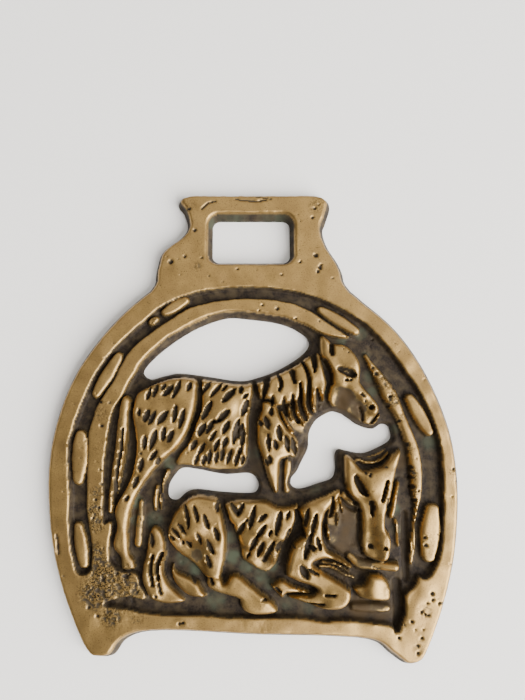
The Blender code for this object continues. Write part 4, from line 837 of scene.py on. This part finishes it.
ROUGH = [
    (-27.5, -31, 4.5, 1), (-24, -29.5, 4, 0.9), (-28, -24.5, 2.6, 0.8), (-28.2, -19.5, 2.2, 0.8),
    (-28.4, -14, 2, 0.6), (-25, -35, 3, 0.8), (-26.5, -27.5, 4, 1), (-28.6, -17, 2.2, 0.8),
    (-22.5, -32.6, 3, 0.9), (-21, -30.5, 2.4, 0.8), (-20.5, -35.3, 2, 0.5),
    (-28.2, 0.5, 2.2, 0.4), (-28.4, -6, 2, 0.25), (24.6, 6.4, 2.2, 0.7), (26.2, 3, 2, 0.8),
    (27.6, 0, 1.6, 0.5), (29.4, -6, 1.6, 0.6), (29.2, -10.6, 1.7, 0.9), (29.6, -14, 1.5, 0.7),
    (7, -8, 1.2, 1), (24.3, -30.6, 0.9, 0.7), (30.5, -34.6, 2, 0.35), (32, -22, 1.8, 0.3),
    (15.8, -18.4, 1.3, 0.9), (1, 0.8, 1.3, 0.8), (-2, -7.6, 1.2, 0.5), (4.3, -25, 0.8, 0.8),
    (-19, 18, 1.3, 0.6), (-13, 41, 3, 0.3), (12.4, 41, 2.4, 0.45), (-11, 28.6, 1.4, 0.4),
    (29.5, -40.6, 1.8, 0.4), (37, -10, 1.4, 0.6), (-22.4, -27, 1.4, 0.6), (2, -36, 6, 0.15)]

rough = patch(ROUGH)
print("rough share:", round(float(rough[depth > 0].mean()), 3))

# %% [markdown]
# ## Pits and cracks
# Gas and grit leave pits. The larger ones, x, y and half width, are listed and the
# smallest are scattered by chance. A few fine cracks run over the hanger and the rim.
# %% Pits and cracks
PITS = [
    (-13.2, 30.6, 0.3), (-16, 29.6, 0.45), (-10, 30.4, 0.22), (12.1, 30.9, 0.42), (13, 28.4, 0.42),
    (12.6, 27.6, 0.3), (9.2, 29.6, 0.25), (13.2, 29, 0.25), (0.4, 29.6, 0.18), (-3, 28.2, 0.2),
    (5.6, 27, 0.2), (-12.6, 40.4, 0.35), (-13.4, 38.2, 0.3), (-11.4, 36, 0.3), (12.2, 40.4, 0.3),
    (11.7, 38.6, 0.25), (13, 41.2, 0.2),
    (4.7, 20.3, 0.3), (1.2, 20.1, 0.2), (1.8, 21.1, 0.18), (-8.6, 18.9, 0.25), (8.2, 18.6, 0.16),
    (31.2, -21.8, 0.28), (31.3, -23.2, 0.4), (29.9, -38.9, 0.22), (26, -38.9, 0.28), (29.1, -41.4, 0.32),
    (29.2, -40.2, 0.22), (32, -31.5, 0.3), (32.1, -32.5, 0.22), (31.2, -33, 0.16), (30, -34.6, 0.22),
    (30.6, -35, 0.22), (31.2, -35.2, 0.2), (28.2, -36.2, 0.25), (27, -36.8, 0.2), (33.2, -33, 0.25),
    (30.2, -37.4, 0.15), (28.9, -37.6, 0.15), (37, -9.6, 0.25), (37.4, -12, 0.2), (36.4, -14.6, 0.18),
    (-28.3, 2.6, 0.28), (-28.1, -1.9, 0.35), (-26.6, 2.4, 0.2), (-28, -9.8, 0.22), (-27.6, -12.4, 0.25),
    (-22.5, -28.6, 0.45), (-24.2, -28.1, 0.25), (-26.7, -29.2, 0.4), (-21.9, -28.2, 0.25),
    (-20.6, -31.2, 0.2), (-17.1, -31.8, 0.35), (-12.8, -36.5, 0.3), (-12.2, -36.4, 0.25),
    (-29, -33.8, 0.25), (-27.4, -35.2, 0.3), (25.8, 3.6, 0.3), (25.4, 1.7, 0.3), (26.4, 5.2, 0.3),
    (23.2, 7.9, 0.4), (22.6, 9, 0.3), (27.3, -0.9, 0.3),
    (28.6, -5.2, 0.35), (29.2, -9.4, 0.4), (29.1, -11.2, 0.4), (29.3, -12.9, 0.55), (29.6, -15.3, 0.45),
    (30.4, -13.6, 0.2), (7.1, 1.6, 0.3), (7.5, -23.4, 0.28), (-11, -22.7, 0.22), (16.9, -30.3, 0.16),
    (-20.5, -6.9, 0.22), (-2.2, -15.9, 0.2), (-28.6, -15.2, 0.2), (-27.9, -16.6, 0.22),
    (-28.9, -18.4, 0.2), (17.2, 12.4, 0.18), (18.1, 11.9, 0.16), (23, 14.6, 0.2)]
CRACKS = [
    [(-3.5, 42.4, 0.14), (0, 42, 0.18), (2.6, 42.2, 0.12)], [(0.4, 42.9, 0.1), (3.6, 42.4, 0.14)],
    [(-10.2, 40.4, 0.18), (-8.8, 41.6, 0.2), (-7.2, 41.9, 0.14)], [(-35.4, -21.4, 0.2), (-34.9, -24.6, 0.25)],
    [(-2.6, 37.6, 0.1), (1.2, 37.9, 0.1)], [(33.4, -32.9, 0.15), (35, -33.4, 0.2)],
    [(21.6, -26.9, 0.14), (22.8, -27, 0.14)], [(-10.8, -28.9, 0.16), (-10.2, -29.4, 0.2)]]
CHANCE_PITS = 170
CHANCE_FIELD = (72, 78)
CHANCE_CORNER = (36, 38)

for px, py, half in PITS:
    punch(px, py, half, 0.5)
for nodes in CRACKS:
    cut(nodes, 0.35 * MM, PIT_FLOOR)
scatter = rng.uniform(0, 1, (CHANCE_PITS, 2)) * CHANCE_FIELD - CHANCE_CORNER
for (px, py), half in zip(scatter, rng.uniform(0.1, 0.2, len(scatter))):
    punch(px, py, half, 0.25)
print("pits:", len(PITS) + len(scatter), "cracks:", len(CRACKS))

# %% [markdown]
# ## Grain and waves
# The grain of the rough patches is sharp noise that only digs in, and soot settles in it. Slow
# waves over the whole front, stronger where it stands high, keep it from looking machined.
# %% Grain and waves
GRAIN_DEPTH = 0.24 * MM
WAVE_START = 2.4 * MM
WAVE_SHARE = 0.09

spikes = np.clip(cloud(0.4 * MM, 11) + 0.7 * cloud(0.25 * MM, 12) - 0.05, 0, 1)
z -= GRAIN_DEPTH * rough * spikes
soot = np.maximum(soot, 0.6 * rough * smooth_step(2.4 * spikes))
z += 0.02 * MM * cloud(3.2 * MM, 13) + 0.012 * MM * cloud(1.1 * MM, 14)
z += WAVE_SHARE * smooth_step((z - WAVE_START) / MM) * (z - GROUND) * cloud(2.4 * MM, 19)
print("front up to", round(float(z.max() / MM), 2), "mm")

# %% [markdown]
# ## Walls with draft, and years of polish
# A light blur rounds every edge of the relief, as polishing does. The pattern had to leave the
# sand, so every wall leans by the draft: it rises from the outline as depth / tan(draft), and a
# smooth minimum joins it to the front with a rounded lip.
# %% Polish and draft
def blurred(field, radius):
    """The mean of the field under a bell curve, once along x and once along y."""
    reach = int(3 * radius / STEP) + 1
    bell = np.exp(-0.5 * (np.arange(-reach, reach + 1) * STEP / radius) ** 2)
    bell /= bell.sum()
    padded = np.pad(field, reach, mode="edge")
    rows = sum(share * padded[:, k:k + x.shape[1]] for k, share in enumerate(bell))
    return sum(share * rows[k:k + x.shape[0]] for k, share in enumerate(bell))


LIP = 0.65 * MM
POLISH = 0.1 * MM
z = blurred(z, POLISH)
WALL_WAVER = 0.12 * MM
wall = EDGE_LAND + np.maximum(depth, 0) / math.tan(DRAFT) + WALL_WAVER * cloud(0.9 * MM, 15)
side = np.clip(0.5 + 0.5 * (wall - z) / LIP, 0, 1)
z = wall * (1 - side) + z * side - LIP * side * (1 - side)
z = np.clip(z, EDGE_LAND, cad_high.z)
print("front from", round(float(z[depth > 0].min() / MM), 2), "to", round(float(z.max() / MM), 2), "mm")

# %% [markdown]
# ## Green and brown stains, and painted shade
# Damp leaves verdigris in the deepest corners, and an old brown stain is left in a few hollows.
# Both are listed patches, whose edges are broken up by clouds.
# The brown spots by the foal's chin are painted shade, not a stain: they darken the shaded left side of its
# muzzle.
# %% Stains and painted shade
VERDIGRIS = [
    (-21.4, -15.6, 1.6, 0.8), (-21.5, -19, 1.2, 0.7), (-15.4, -8.8, 1.6, 0.8), (-13, -7.6, 1.4, 0.6),
    (-18, -19.2, 2.2, 0.7),
    (-12.5, -25.6, 1.8, 0.8), (-10.4, -27.4, 1.6, 0.9), (-3.8, -22, 1.4, 0.6), (-3.4, -25.4, 1.8, 1),
    (-1, -27, 1.8, 0.9), (1.6, -28.6, 1.8, 0.9), (3.6, -27, 1.4, 0.7), (3, -30, 1.5, 0.7),
    (0.4, -7, 1.4, 0.5), (-6.6, -33, 2.4, 0.6), (6.6, -33.2, 2, 0.5), (10, -34.2, 1.6, 0.5),
    (26, -17, 1.6, 0.9), (26.2, -20.6, 1.4, 0.8), (26.4, -14, 1, 0.7), (22.2, 7.5, 1.6, 0.6),
    (22.8, 4.6, 1.4, 0.6), (21.6, 11.4, 1.2, 0.5), (20.8, 15.6, 1.6, 0.6), (17, 14.4, 1.4, 0.5),
    (-31, 15, 2.4, 0.2), (-29, -21, 1.6, 0.5), (33, -5, 2, 0.6), (-14, 22.2, 1.4, 0.4),
    (11.4, -13.4, 1.6, 0.5), (-4, 38.6, 4, 0.5), (4, 38.6, 4, 0.5), (-8.6, 38, 1.6, 0.7),
    (22, -0.6, 1, 0.5), (26.8, -2.4, 1.2, 0.4), (13.5, 4.6, 1, 0.5)]
# Brown stains, and painted shade: the two spots by the foal's chin darken the shaded side of its muzzle.
STAIN_AND_SHADE_SPOTS = [
    (-20.5, -17.2, 1.7, 0.8), (-20.7, -20.6, 1.9, 0.8), (17.2, 2.8, 3.2, 1), (19.6, 0.8, 2.5, 1),
    (21.6, -0.6, 1.7, 0.8), (16, 4.6, 2, 0.7), (17.4, -17.6, 3.4, 1), (18, -21.6, 3.4, 1),
    (16.5, -24, 2.2, 0.9), (15, -20.6, 1.6, 0.8), (20, -26.4, 2.6, 0.9), (20.8, -22.4, 1.4, 0.5),
    (16.5, -28.4, 2, 0.6), (19.5, -34.2, 3, 1), (23, -34.2, 3, 1), (27.6, -8.6, 1.8, 0.9),
    (1, -10, 1.6, 0.6), (2, -26.4, 2, 0.6), (-6.8, 18.6, 2, 0.6), (-10, -25, 2, 0.5),
    (8.8, -6.6, 1.6, 0.5), (-19, 21.5, 3, 0.2), (20, -16.4, 1.4, 0.6)]

verdigris = np.clip(patch(VERDIGRIS) * (0.75 + 0.5 * cloud(0.9 * MM, 16)), 0, 1)
stain_and_shade = np.clip(patch(STAIN_AND_SHADE_SPOTS) * (0.8 + 0.4 * cloud(1.4 * MM, 17)), 0, 1)
print("green spots:", len(VERDIGRIS), "brown spots:", len(STAIN_AND_SHADE_SPOTS))

# %% [markdown]
# ## Where the cloth reaches
# A cloth reaches what stands above its surroundings. So the height is compared with its own
# mean over two radii, a narrow one for the hairs and a wide one for the limbs: above the mean
# the metal shines, below it the old dirt stays. Places low in the casting keep more of it, and
# so do sooty cuts, rough and stained places, the painted shade on the foal's muzzle, steep walls
# and the outer edge.
# %% Shine
NARROW = 0.4 * MM
WIDE = 1.2 * MM
LOW_EDGE = 0.12 * MM
LOW_SPAN = 0.65 * MM
OUTER_EDGE = 0.5 * MM
HALF_POLISHED = 0.42


def above_mean(radius):
    """Height over the mean height of the plate within that radius, in millimetres."""
    share = blurred((depth > 0).astype(float), radius)
    return (z - blurred(np.where(depth > 0, z, 0), radius) / np.maximum(share, 0.05)) / MM


level = smooth_step((z - GROUND - LOW_EDGE) / LOW_SPAN)
steep = np.hypot(*np.gradient(z, STEP))
shine = 0.02 + 0.8 * level + 0.65 * above_mean(NARROW) + 0.3 * above_mean(WIDE)
shine += 0.16 * grain + 0.1 * cloud(2.6 * MM, 18) - 0.2 * rough - 0.95 * soot
# The brown mask is partly painted shade, so it also dulls the foal's shaded muzzle.
shine -= 0.3 * smooth_step(1 - depth / OUTER_EDGE) + 0.85 * stain_and_shade
shine -= 0.28 * smooth_step((steep - 0.6) / 1.2)
polish = smooth_step(0.5 + 1.9 * (shine - HALF_POLISHED))
print("polished share of the front:", round(float(polish[depth > 0].mean()), 2))

# %% [markdown]
# ## From squares to triangles
# The squares of the grid are halved into triangles, with diagonals that alternate so that no
# direction is favoured. Places close to the outline are moved onto it, which leaves no slivers
# when the grid is cut there.
# %% Squares into triangles
SNAP_REACH = 0.35 * STEP
LEAST_SLOPE = 0.25


def snapped(px, py, pz, inside):
    """Places nearer than a third of a step to the outline move onto it, along the slope of
    the depth g: p - depth * g / |g|^2. Where the slope is too faint to tell the way they stay."""
    slope_y, slope_x = np.gradient(inside, STEP)
    steep = slope_x ** 2 + slope_y ** 2
    near = (np.abs(inside) < SNAP_REACH) & (steep > LEAST_SLOPE)
    px = np.where(near, px - inside * slope_x / np.maximum(steep, LEAST_SLOPE), px)
    py = np.where(near, py - inside * slope_y / np.maximum(steep, LEAST_SLOPE), py)
    return px, py, np.where(near, EDGE_LAND, pz), np.where(near, 0, inside)


def grid_triangles(rows, columns):
    """Two triangles for each square, with diagonals that alternate."""
    index = np.arange(rows * columns).reshape(rows, columns)
    a, b, c, d = index[:-1, :-1], index[:-1, 1:], index[1:, 1:], index[1:, :-1]
    even = np.add.outer(np.arange(rows - 1), np.arange(columns - 1)) % 2 == 0
    first = np.where(even[..., None], np.stack([a, b, c], -1), np.stack([a, b, d], -1))
    second = np.where(even[..., None], np.stack([a, c, d], -1), np.stack([b, c, d], -1))
    return np.vstack([first.reshape(-1, 3), second.reshape(-1, 3)])


px, py, pz, inside = snapped(x, y, z, depth)
triangles = grid_triangles(*x.shape)
print("places moved onto the outline:", int((inside == 0).sum()), "triangles:", len(triangles))

# %% [markdown]
# ## Cutting along the outline
# A triangle with all corners inside is kept whole. One that the outline crosses loses a corner,
# which leaves two triangles, or keeps only one. Each place is a row of an array: x, y and z, and
# after them the values that the material will read, so a cut blends them all at once.
# %% Cut the grid along the outline
def turned(triangles, marked):
    """Each triangle turned so that its marked corner comes first."""
    order = (marked.argmax(1)[:, None] + np.arange(3)) % 3
    return np.take_along_axis(triangles, order, 1)


def cut_along_edge(places, inside, triangles):
    """What lies inside the outline. An edge from depth p to depth q < 0 is cut at the share
    p / (p - q), and every column of the places is blended there by that share."""
    triangles = triangles[(inside[triangles] > 0).any(1)]
    within = inside[triangles] > 0
    outside = inside[triangles] < 0
    outs = outside.sum(1)
    one = turned(triangles[outs == 1], outside[outs == 1])
    two = turned(triangles[outs == 2], within[outs == 2])
    pairs = np.vstack([one[:, [1, 0]], one[:, [2, 0]], two[:, [0, 1]], two[:, [0, 2]]])
    pairs = np.unique(pairs[(inside[pairs[:, 0]] > 0) & (inside[pairs[:, 1]] < 0)], axis=0)
    p, q = inside[pairs].T
    t = (p / (p - q))[:, None]
    fresh = places[pairs[:, 0]] * (1 - t) + places[pairs[:, 1]] * t
    fresh[:, 2] = EDGE_LAND
    keys = pairs[:, 0] * len(places) + pairs[:, 1]

    def crossing(start, end):
        """The new place between a corner inside and one outside, or the corner itself."""
        found = np.searchsorted(keys, start * len(places) + end).clip(0, len(keys) - 1)
        return np.where(inside[start] > 0, len(places) + found, start)

    out, a, b = one.T
    cut_a = crossing(a, out)
    cut_b = crossing(b, out)
    tip, far, near = two.T
    faces = np.vstack([
        triangles[outs == 0], np.stack([a, b, cut_b], 1), np.stack([a, cut_b, cut_a], 1),
        np.stack([tip, crossing(tip, far), crossing(tip, near)], 1)])
    distinct = (faces != np.roll(faces, 1, 1)).all(1)
    return np.vstack([places, fresh]), faces[distinct]


columns = [px, py, pz, polish, verdigris, stain_and_shade, soot, rough]
places = np.stack([values.ravel() for values in columns], 1)
places, faces = cut_along_edge(places, inside.ravel(), triangles)
used, faces = np.unique(faces, return_inverse=True)
places = places[used]
faces = faces.reshape(-1, 3)
print("front:", len(places), "places,", len(faces), "triangles")

# %% [markdown]
# ## The back, and one closed skin
# An edge that only one triangle uses is a free edge, and the free edges together are the
# outline and the rims of the openings. Each goes straight down to the back, where its place
# keeps x, y and the stains and loses its height and its shine. The flat back is filled with
# triangles that leave the openings open.
# %% Back and walls
KEPT_ON_THE_BACK = (1, 1, 0, 0, 1, 1, 0, 0)

edges = np.vstack([faces[:, [0, 1]], faces[:, [1, 2]], faces[:, [2, 0]]])
forward = edges[:, 0] * len(places) + edges[:, 1]
reverse = edges[:, 1] * len(places) + edges[:, 0]
rim = edges[~np.isin(forward, reverse)]
rim_places, rim_index = np.unique(rim, return_inverse=True)
rim_index = rim_index.reshape(-1, 2)
back = places[rim_places] * KEPT_ON_THE_BACK

sheet = bmesh.new()
corners = [sheet.verts.new(place) for place in back[:, :3]]
sides = [sheet.edges.new((corners[a], corners[b])) for a, b in rim_index]
sheet.verts.index_update()
bmesh.ops.triangle_fill(sheet, use_beauty=True, use_dissolve=False, edges=sides)
under = np.array([[corner.index for corner in face.verts] for face in sheet.faces])
sheet.free()
first, second, third = back[under, :2].transpose(1, 0, 2)
upward = np.cross(second - first, third - first) > 0
under[upward] = under[upward][:, ::-1]

a, b = rim.T
low_a, low_b = rim_index.T + len(places)
walls = np.vstack([np.stack([b, a, low_a], 1), np.stack([b, low_a, low_b], 1)])
skin = np.vstack([faces, walls, under + len(places)])
places = np.vstack([places, back])
print("outline places:", len(rim), "back triangles:", len(under))

# %% [markdown]
# ## The mesh in the frame
# The finer curves of this outline may pass the solid's box by a hair, so its plan is drawn in.
# Then the places and triangles become a mesh, each value becomes an attribute of its own, and
# edges sharper than sixty degrees stay sharp. The brass takes the solid's place on its body.
# %% Mesh and object
SHARP_ANGLE = math.radians(60)

cad_middle = np.array((cad_low + cad_high) / 2)[:2]
cad_side = np.array(cad_high - cad_low)[:2]
low_side = places[:, :2].min(0)
high_side = places[:, :2].max(0)
fit = np.minimum(cad_side / (high_side - low_side), 1)
places[:, :2] = cad_middle + (places[:, :2] - (low_side + high_side) / 2) * fit
mesh = bpy.data.meshes.new("brass_casting")
mesh.from_pydata(places[:, :3].tolist(), [], skin.tolist())
for name, values in zip(("polish", "verdigris", "stain_and_shade", "soot", "rough"), places[:, 3:].T):
    mesh.attributes.new(name, "FLOAT", "POINT").data.foreach_set("value", values.astype(np.float32))
mesh.shade_smooth()
mesh.set_sharp_from_angle(angle=SHARP_ANGLE)
brass = bpy.data.objects.new("brass_casting", mesh)
bpy.context.scene.collection.objects.link(brass)
check = bmesh.new()
check.from_mesh(mesh)
open_edges = sum(not edge.is_manifold for edge in check.edges)
volume = check.calc_volume() * 1e6
check.free()
print("triangles:", len(skin), "open edges:", open_edges, "volume:", round(volume, 2), "cubic cm")
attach(brass, "root")
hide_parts("horse_brass")

# %% [markdown]
# ## Brass and what lies on it
# Bare brass is a metal: all its colour is in its reflection. The old dirt is not, and it is
# rough, so the two are blended by the polish that each place was given. A painter of scenery
# would mix pots of colour, and a shader mixes sockets: the helpers below each add one node and
# return what comes out of it.
# %% Shader helpers
material = bpy.data.materials.new("worn_brass")
material.use_nodes = True
tree = material.node_tree
shader = tree.nodes["Principled BSDF"]


def feed(socket, value):
    """Feed a socket: from another socket by a link, and with a number or a colour as it is."""
    if isinstance(value, bpy.types.NodeSocket):
        tree.links.new(value, socket)
    else:
        socket.default_value = value


def node(kind, **settings):
    """A new shader node. A setting with a socket's name feeds that socket, and any other is a
    setting of the node itself."""
    made = tree.nodes.new(kind)
    for name, value in settings.items():
        if name in made.inputs:
            feed(made.inputs[name], value)
        else:
            setattr(made, name, value)
    return made


def blend(share, first, second):
    """The mean of two colours, first where the share is 0 and second where it is 1."""
    made = node("ShaderNodeMix", data_type="RGBA", clamp_factor=True)
    for index, value in ((0, share), (6, first), (7, second)):
        feed(made.inputs[index], value)
    return made.outputs[2]


def mapped(value, low, high, to_low, to_high):
    """The value moved from one range to another on a straight line, and held at its ends."""
    made = node("ShaderNodeMapRange")
    for socket, given in zip(made.inputs, (value, low, high, to_low, to_high)):
        feed(socket, given)
    return made.outputs[0]


def attribute(name):
    """One of the mesh's own values."""
    return node("ShaderNodeAttribute", attribute_name=name).outputs["Fac"]


def noise(scale, detail):
    """Noise over the object's own coordinates, with that many waves to the metre."""
    place = node("ShaderNodeTexCoord").outputs["Object"]
    return node("ShaderNodeTexNoise", Vector=place, Scale=scale, Detail=detail).outputs["Fac"]


print("material:", material.name)

# %% [markdown]
# ## The colours of the metal
# Old brass isn't one colour. Slow clouds of tarnish lie over it, fine freckles and dark specks
# are strewn on it, and where the casting is rough, grit sits in the grain. All of it is noise
# over the object's own coordinates, so it stays on the metal from every side.
# %% Clean brass
BRIGHT_BRASS = (0.415, 0.264, 0.09, 1)
TARNISHED_BRASS = (0.325, 0.204, 0.072, 1)
FRECKLE = (0.24, 0.15, 0.06, 1)
DARK_SPECK = (0.11, 0.075, 0.035, 1)
GRIT = (0.03, 0.021, 0.013, 1)

polish_share = attribute("polish")
tarnish = mapped(noise(260, 3), 0.35, 0.65, 0, 1)
speckle = mapped(noise(3200, 2), 0.4, 0.62, 0, 1)
clean = blend(tarnish, BRIGHT_BRASS, TARNISHED_BRASS)
clean = blend(mapped(speckle, 0, 1, 0, 0.3), clean, FRECKLE)
clean = blend(mapped(noise(4400, 2), 0.6, 0.7, 0, 0.75), clean, DARK_SPECK)
grit = node("ShaderNodeMath", operation="MULTIPLY")
for socket, value in zip(grit.inputs, (mapped(noise(3600, 3), 0.48, 0.56, 0, 1), attribute("rough"))):
    feed(socket, value)
clean = blend(grit.outputs[0], clean, GRIT)
print("nodes in the clean brass:", len(tree.nodes))

# %% [markdown]
# ## The colours of the dirt, and painted shade
# In the hollows lies dark old polish with a paler crust on it. Damp turns it green in some
# corners, and a brown stain is left in a few hollows; the same brown is painted shade on the
# shaded left side of the foal's muzzle. Half worn places are olive, between the dirt and the
# bright metal. A faint bump stands for the grain that is finer than the mesh.
# %% Dirt, and the finished material
OLD_DIRT = (0.013, 0.009, 0.006, 1)
DUSTY_DIRT = (0.028, 0.019, 0.012, 1)
CRUST = (0.052, 0.037, 0.02, 1)
BROWN_STAIN_AND_SHADE = (0.05, 0.031, 0.013, 1)
DAMP_GREEN = (0.05, 0.058, 0.036, 1)
SOOT = (0.021, 0.014, 0.007, 1)
OLIVE = (0.085, 0.062, 0.031, 1)
BUMP_HEIGHT = 0.06 * MM

dirt = blend(speckle, OLD_DIRT, DUSTY_DIRT)
dirt = blend(mapped(noise(620, 4), 0.42, 0.68, 0, 1), dirt, CRUST)
# Brown stain, and painted shade on the shaded left side of the foal's muzzle.
dirt = blend(attribute("stain_and_shade"), dirt, BROWN_STAIN_AND_SHADE)
dirt = blend(attribute("verdigris"), dirt, DAMP_GREEN)
dirt = blend(mapped(attribute("soot"), 0.6, 1, 0, 0.8), dirt, SOOT)
dull = blend(mapped(polish_share, 0, 0.5, 0, 1), dirt, OLIVE)
colour = blend(mapped(polish_share, 0.4, 1, 0, 1), dull, clean)
roughness = mapped(polish_share, 0, 1, 0.62, 0.46)
metallic = mapped(polish_share, 0, 0.9, 0.1, 1)
grain_bump = node("ShaderNodeBump", Strength=0.35, Distance=BUMP_HEIGHT, Height=noise(4200, 3))
for name, value in (("Base Color", colour), ("Metallic", metallic), ("Roughness", roughness),
                    ("Normal", grain_bump.outputs["Normal"])):
    feed(shader.inputs[name], value)
shader.inputs["Specular IOR Level"].default_value = 0.15
mesh.materials.append(material)
print("nodes:", len(tree.nodes))

# %% [markdown]
# ## Floor and light
# The brass lies on a pale sheet. A window stands low at the right, so the slopes that face it
# flash and the others stay dark. The room is dim on the near side and light on the far side,
# so the lower rim reflects less than the hanger.
# %% Floor, window and room
FLOOR_GAP = 0.02 * MM
PALE_SHEET = (0.94, 0.91, 0.865, 1)
ROOM_LIGHT = (1, 0.98, 0.95, 1)
NEAR_AND_FAR = (-0.45, 0.35)
DIM_AND_LIGHT = (0.17, 0.62)

floor_mesh = bpy.data.meshes.new("floor")
floor_mesh.from_pydata([(-2, -2, 0), (2, -2, 0), (2, 2, 0), (-2, 2, 0)], [], [(0, 1, 2, 3)])
floor = bpy.data.objects.new("floor", floor_mesh)
floor.location.z = -FLOOR_GAP
paper = bpy.data.materials.new("pale_sheet")
paper.use_nodes = True
sheet_shader = paper.node_tree.nodes["Principled BSDF"]
sheet_shader.inputs["Base Color"].default_value = PALE_SHEET
sheet_shader.inputs["Roughness"].default_value = 0.9
floor_mesh.materials.append(paper)
bpy.context.scene.collection.objects.link(floor)
floor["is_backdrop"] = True


def window_light(name, place, width, height, power):
    """A soft rectangle of light that faces the middle of the brass."""
    lamp = bpy.data.lights.new(name, "AREA")
    lamp.shape = "RECTANGLE"
    lamp.size = width
    lamp.size_y = height
    lamp.energy = power
    holder = bpy.data.objects.new(name, lamp)
    holder.location = place
    holder.rotation_euler = (-Vector(place)).to_track_quat("-Z", "Y").to_euler()
    bpy.context.scene.collection.objects.link(holder)


window_light("window", place=(0.7, -0.47, 0.55), width=1.15, height=1, power=50)
window_light("ceiling", place=(0.1, 0.6, 1), width=0.9, height=0.9, power=3)
world = bpy.data.worlds.new("room")
world.use_nodes = True
sky = world.node_tree
background = sky.nodes["Background"]
background.inputs["Color"].default_value = ROOM_LIGHT
toward = sky.nodes.new("ShaderNodeTexCoord")
axes = sky.nodes.new("ShaderNodeSeparateXYZ")
ramp = sky.nodes.new("ShaderNodeMapRange")
for socket, value in zip(ramp.inputs[1:5], NEAR_AND_FAR + DIM_AND_LIGHT):
    socket.default_value = value
sky.links.new(toward.outputs["Generated"], axes.inputs[0])
sky.links.new(axes.outputs["Y"], ramp.inputs[0])
sky.links.new(ramp.outputs[0], background.inputs["Strength"])
bpy.context.scene.world = world
print("lamps:", len(bpy.data.lights))

# %% [markdown]
# ## Camera
# The picture was taken from close by, so the camera looks down from 105 mm with a slight tilt.
# Its lens follows from the focal length counted in pixels of a picture 700 pixels high.
# %% Camera
CAMERA_PLACE = (1.84 * MM, -2.01 * MM, 105 * MM)
CAMERA_TILT = math.radians(8)
FOCAL_PIXELS = 544
IMAGE_HEIGHT = 700
SENSOR = 24

lens = bpy.data.cameras.new("camera")
lens.sensor_width = SENSOR
lens.lens = FOCAL_PIXELS / IMAGE_HEIGHT * SENSOR
lens.clip_start = 1 * MM
camera = bpy.data.objects.new("camera", lens)
camera.location = CAMERA_PLACE
camera.rotation_euler = (CAMERA_TILT, 0, 0)
bpy.context.scene.collection.objects.link(camera)
bpy.context.scene.camera = camera
print("lens:", round(lens.lens, 2), "mm")

# %% [markdown]
# ## Measured against the solid
# The finished brass has to lie inside the box of the solid that it dresses. Both boxes are
# taken, and whether the brass stays inside is printed.
# %% Both boxes
ROUNDING = 1e-6

low_corner, high_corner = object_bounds()
past = [max(high_corner[k] - cad_high[k], cad_low[k] - low_corner[k]) for k in range(3)]
print("visual inside CAD box:", max(past) <= ROUNDING)
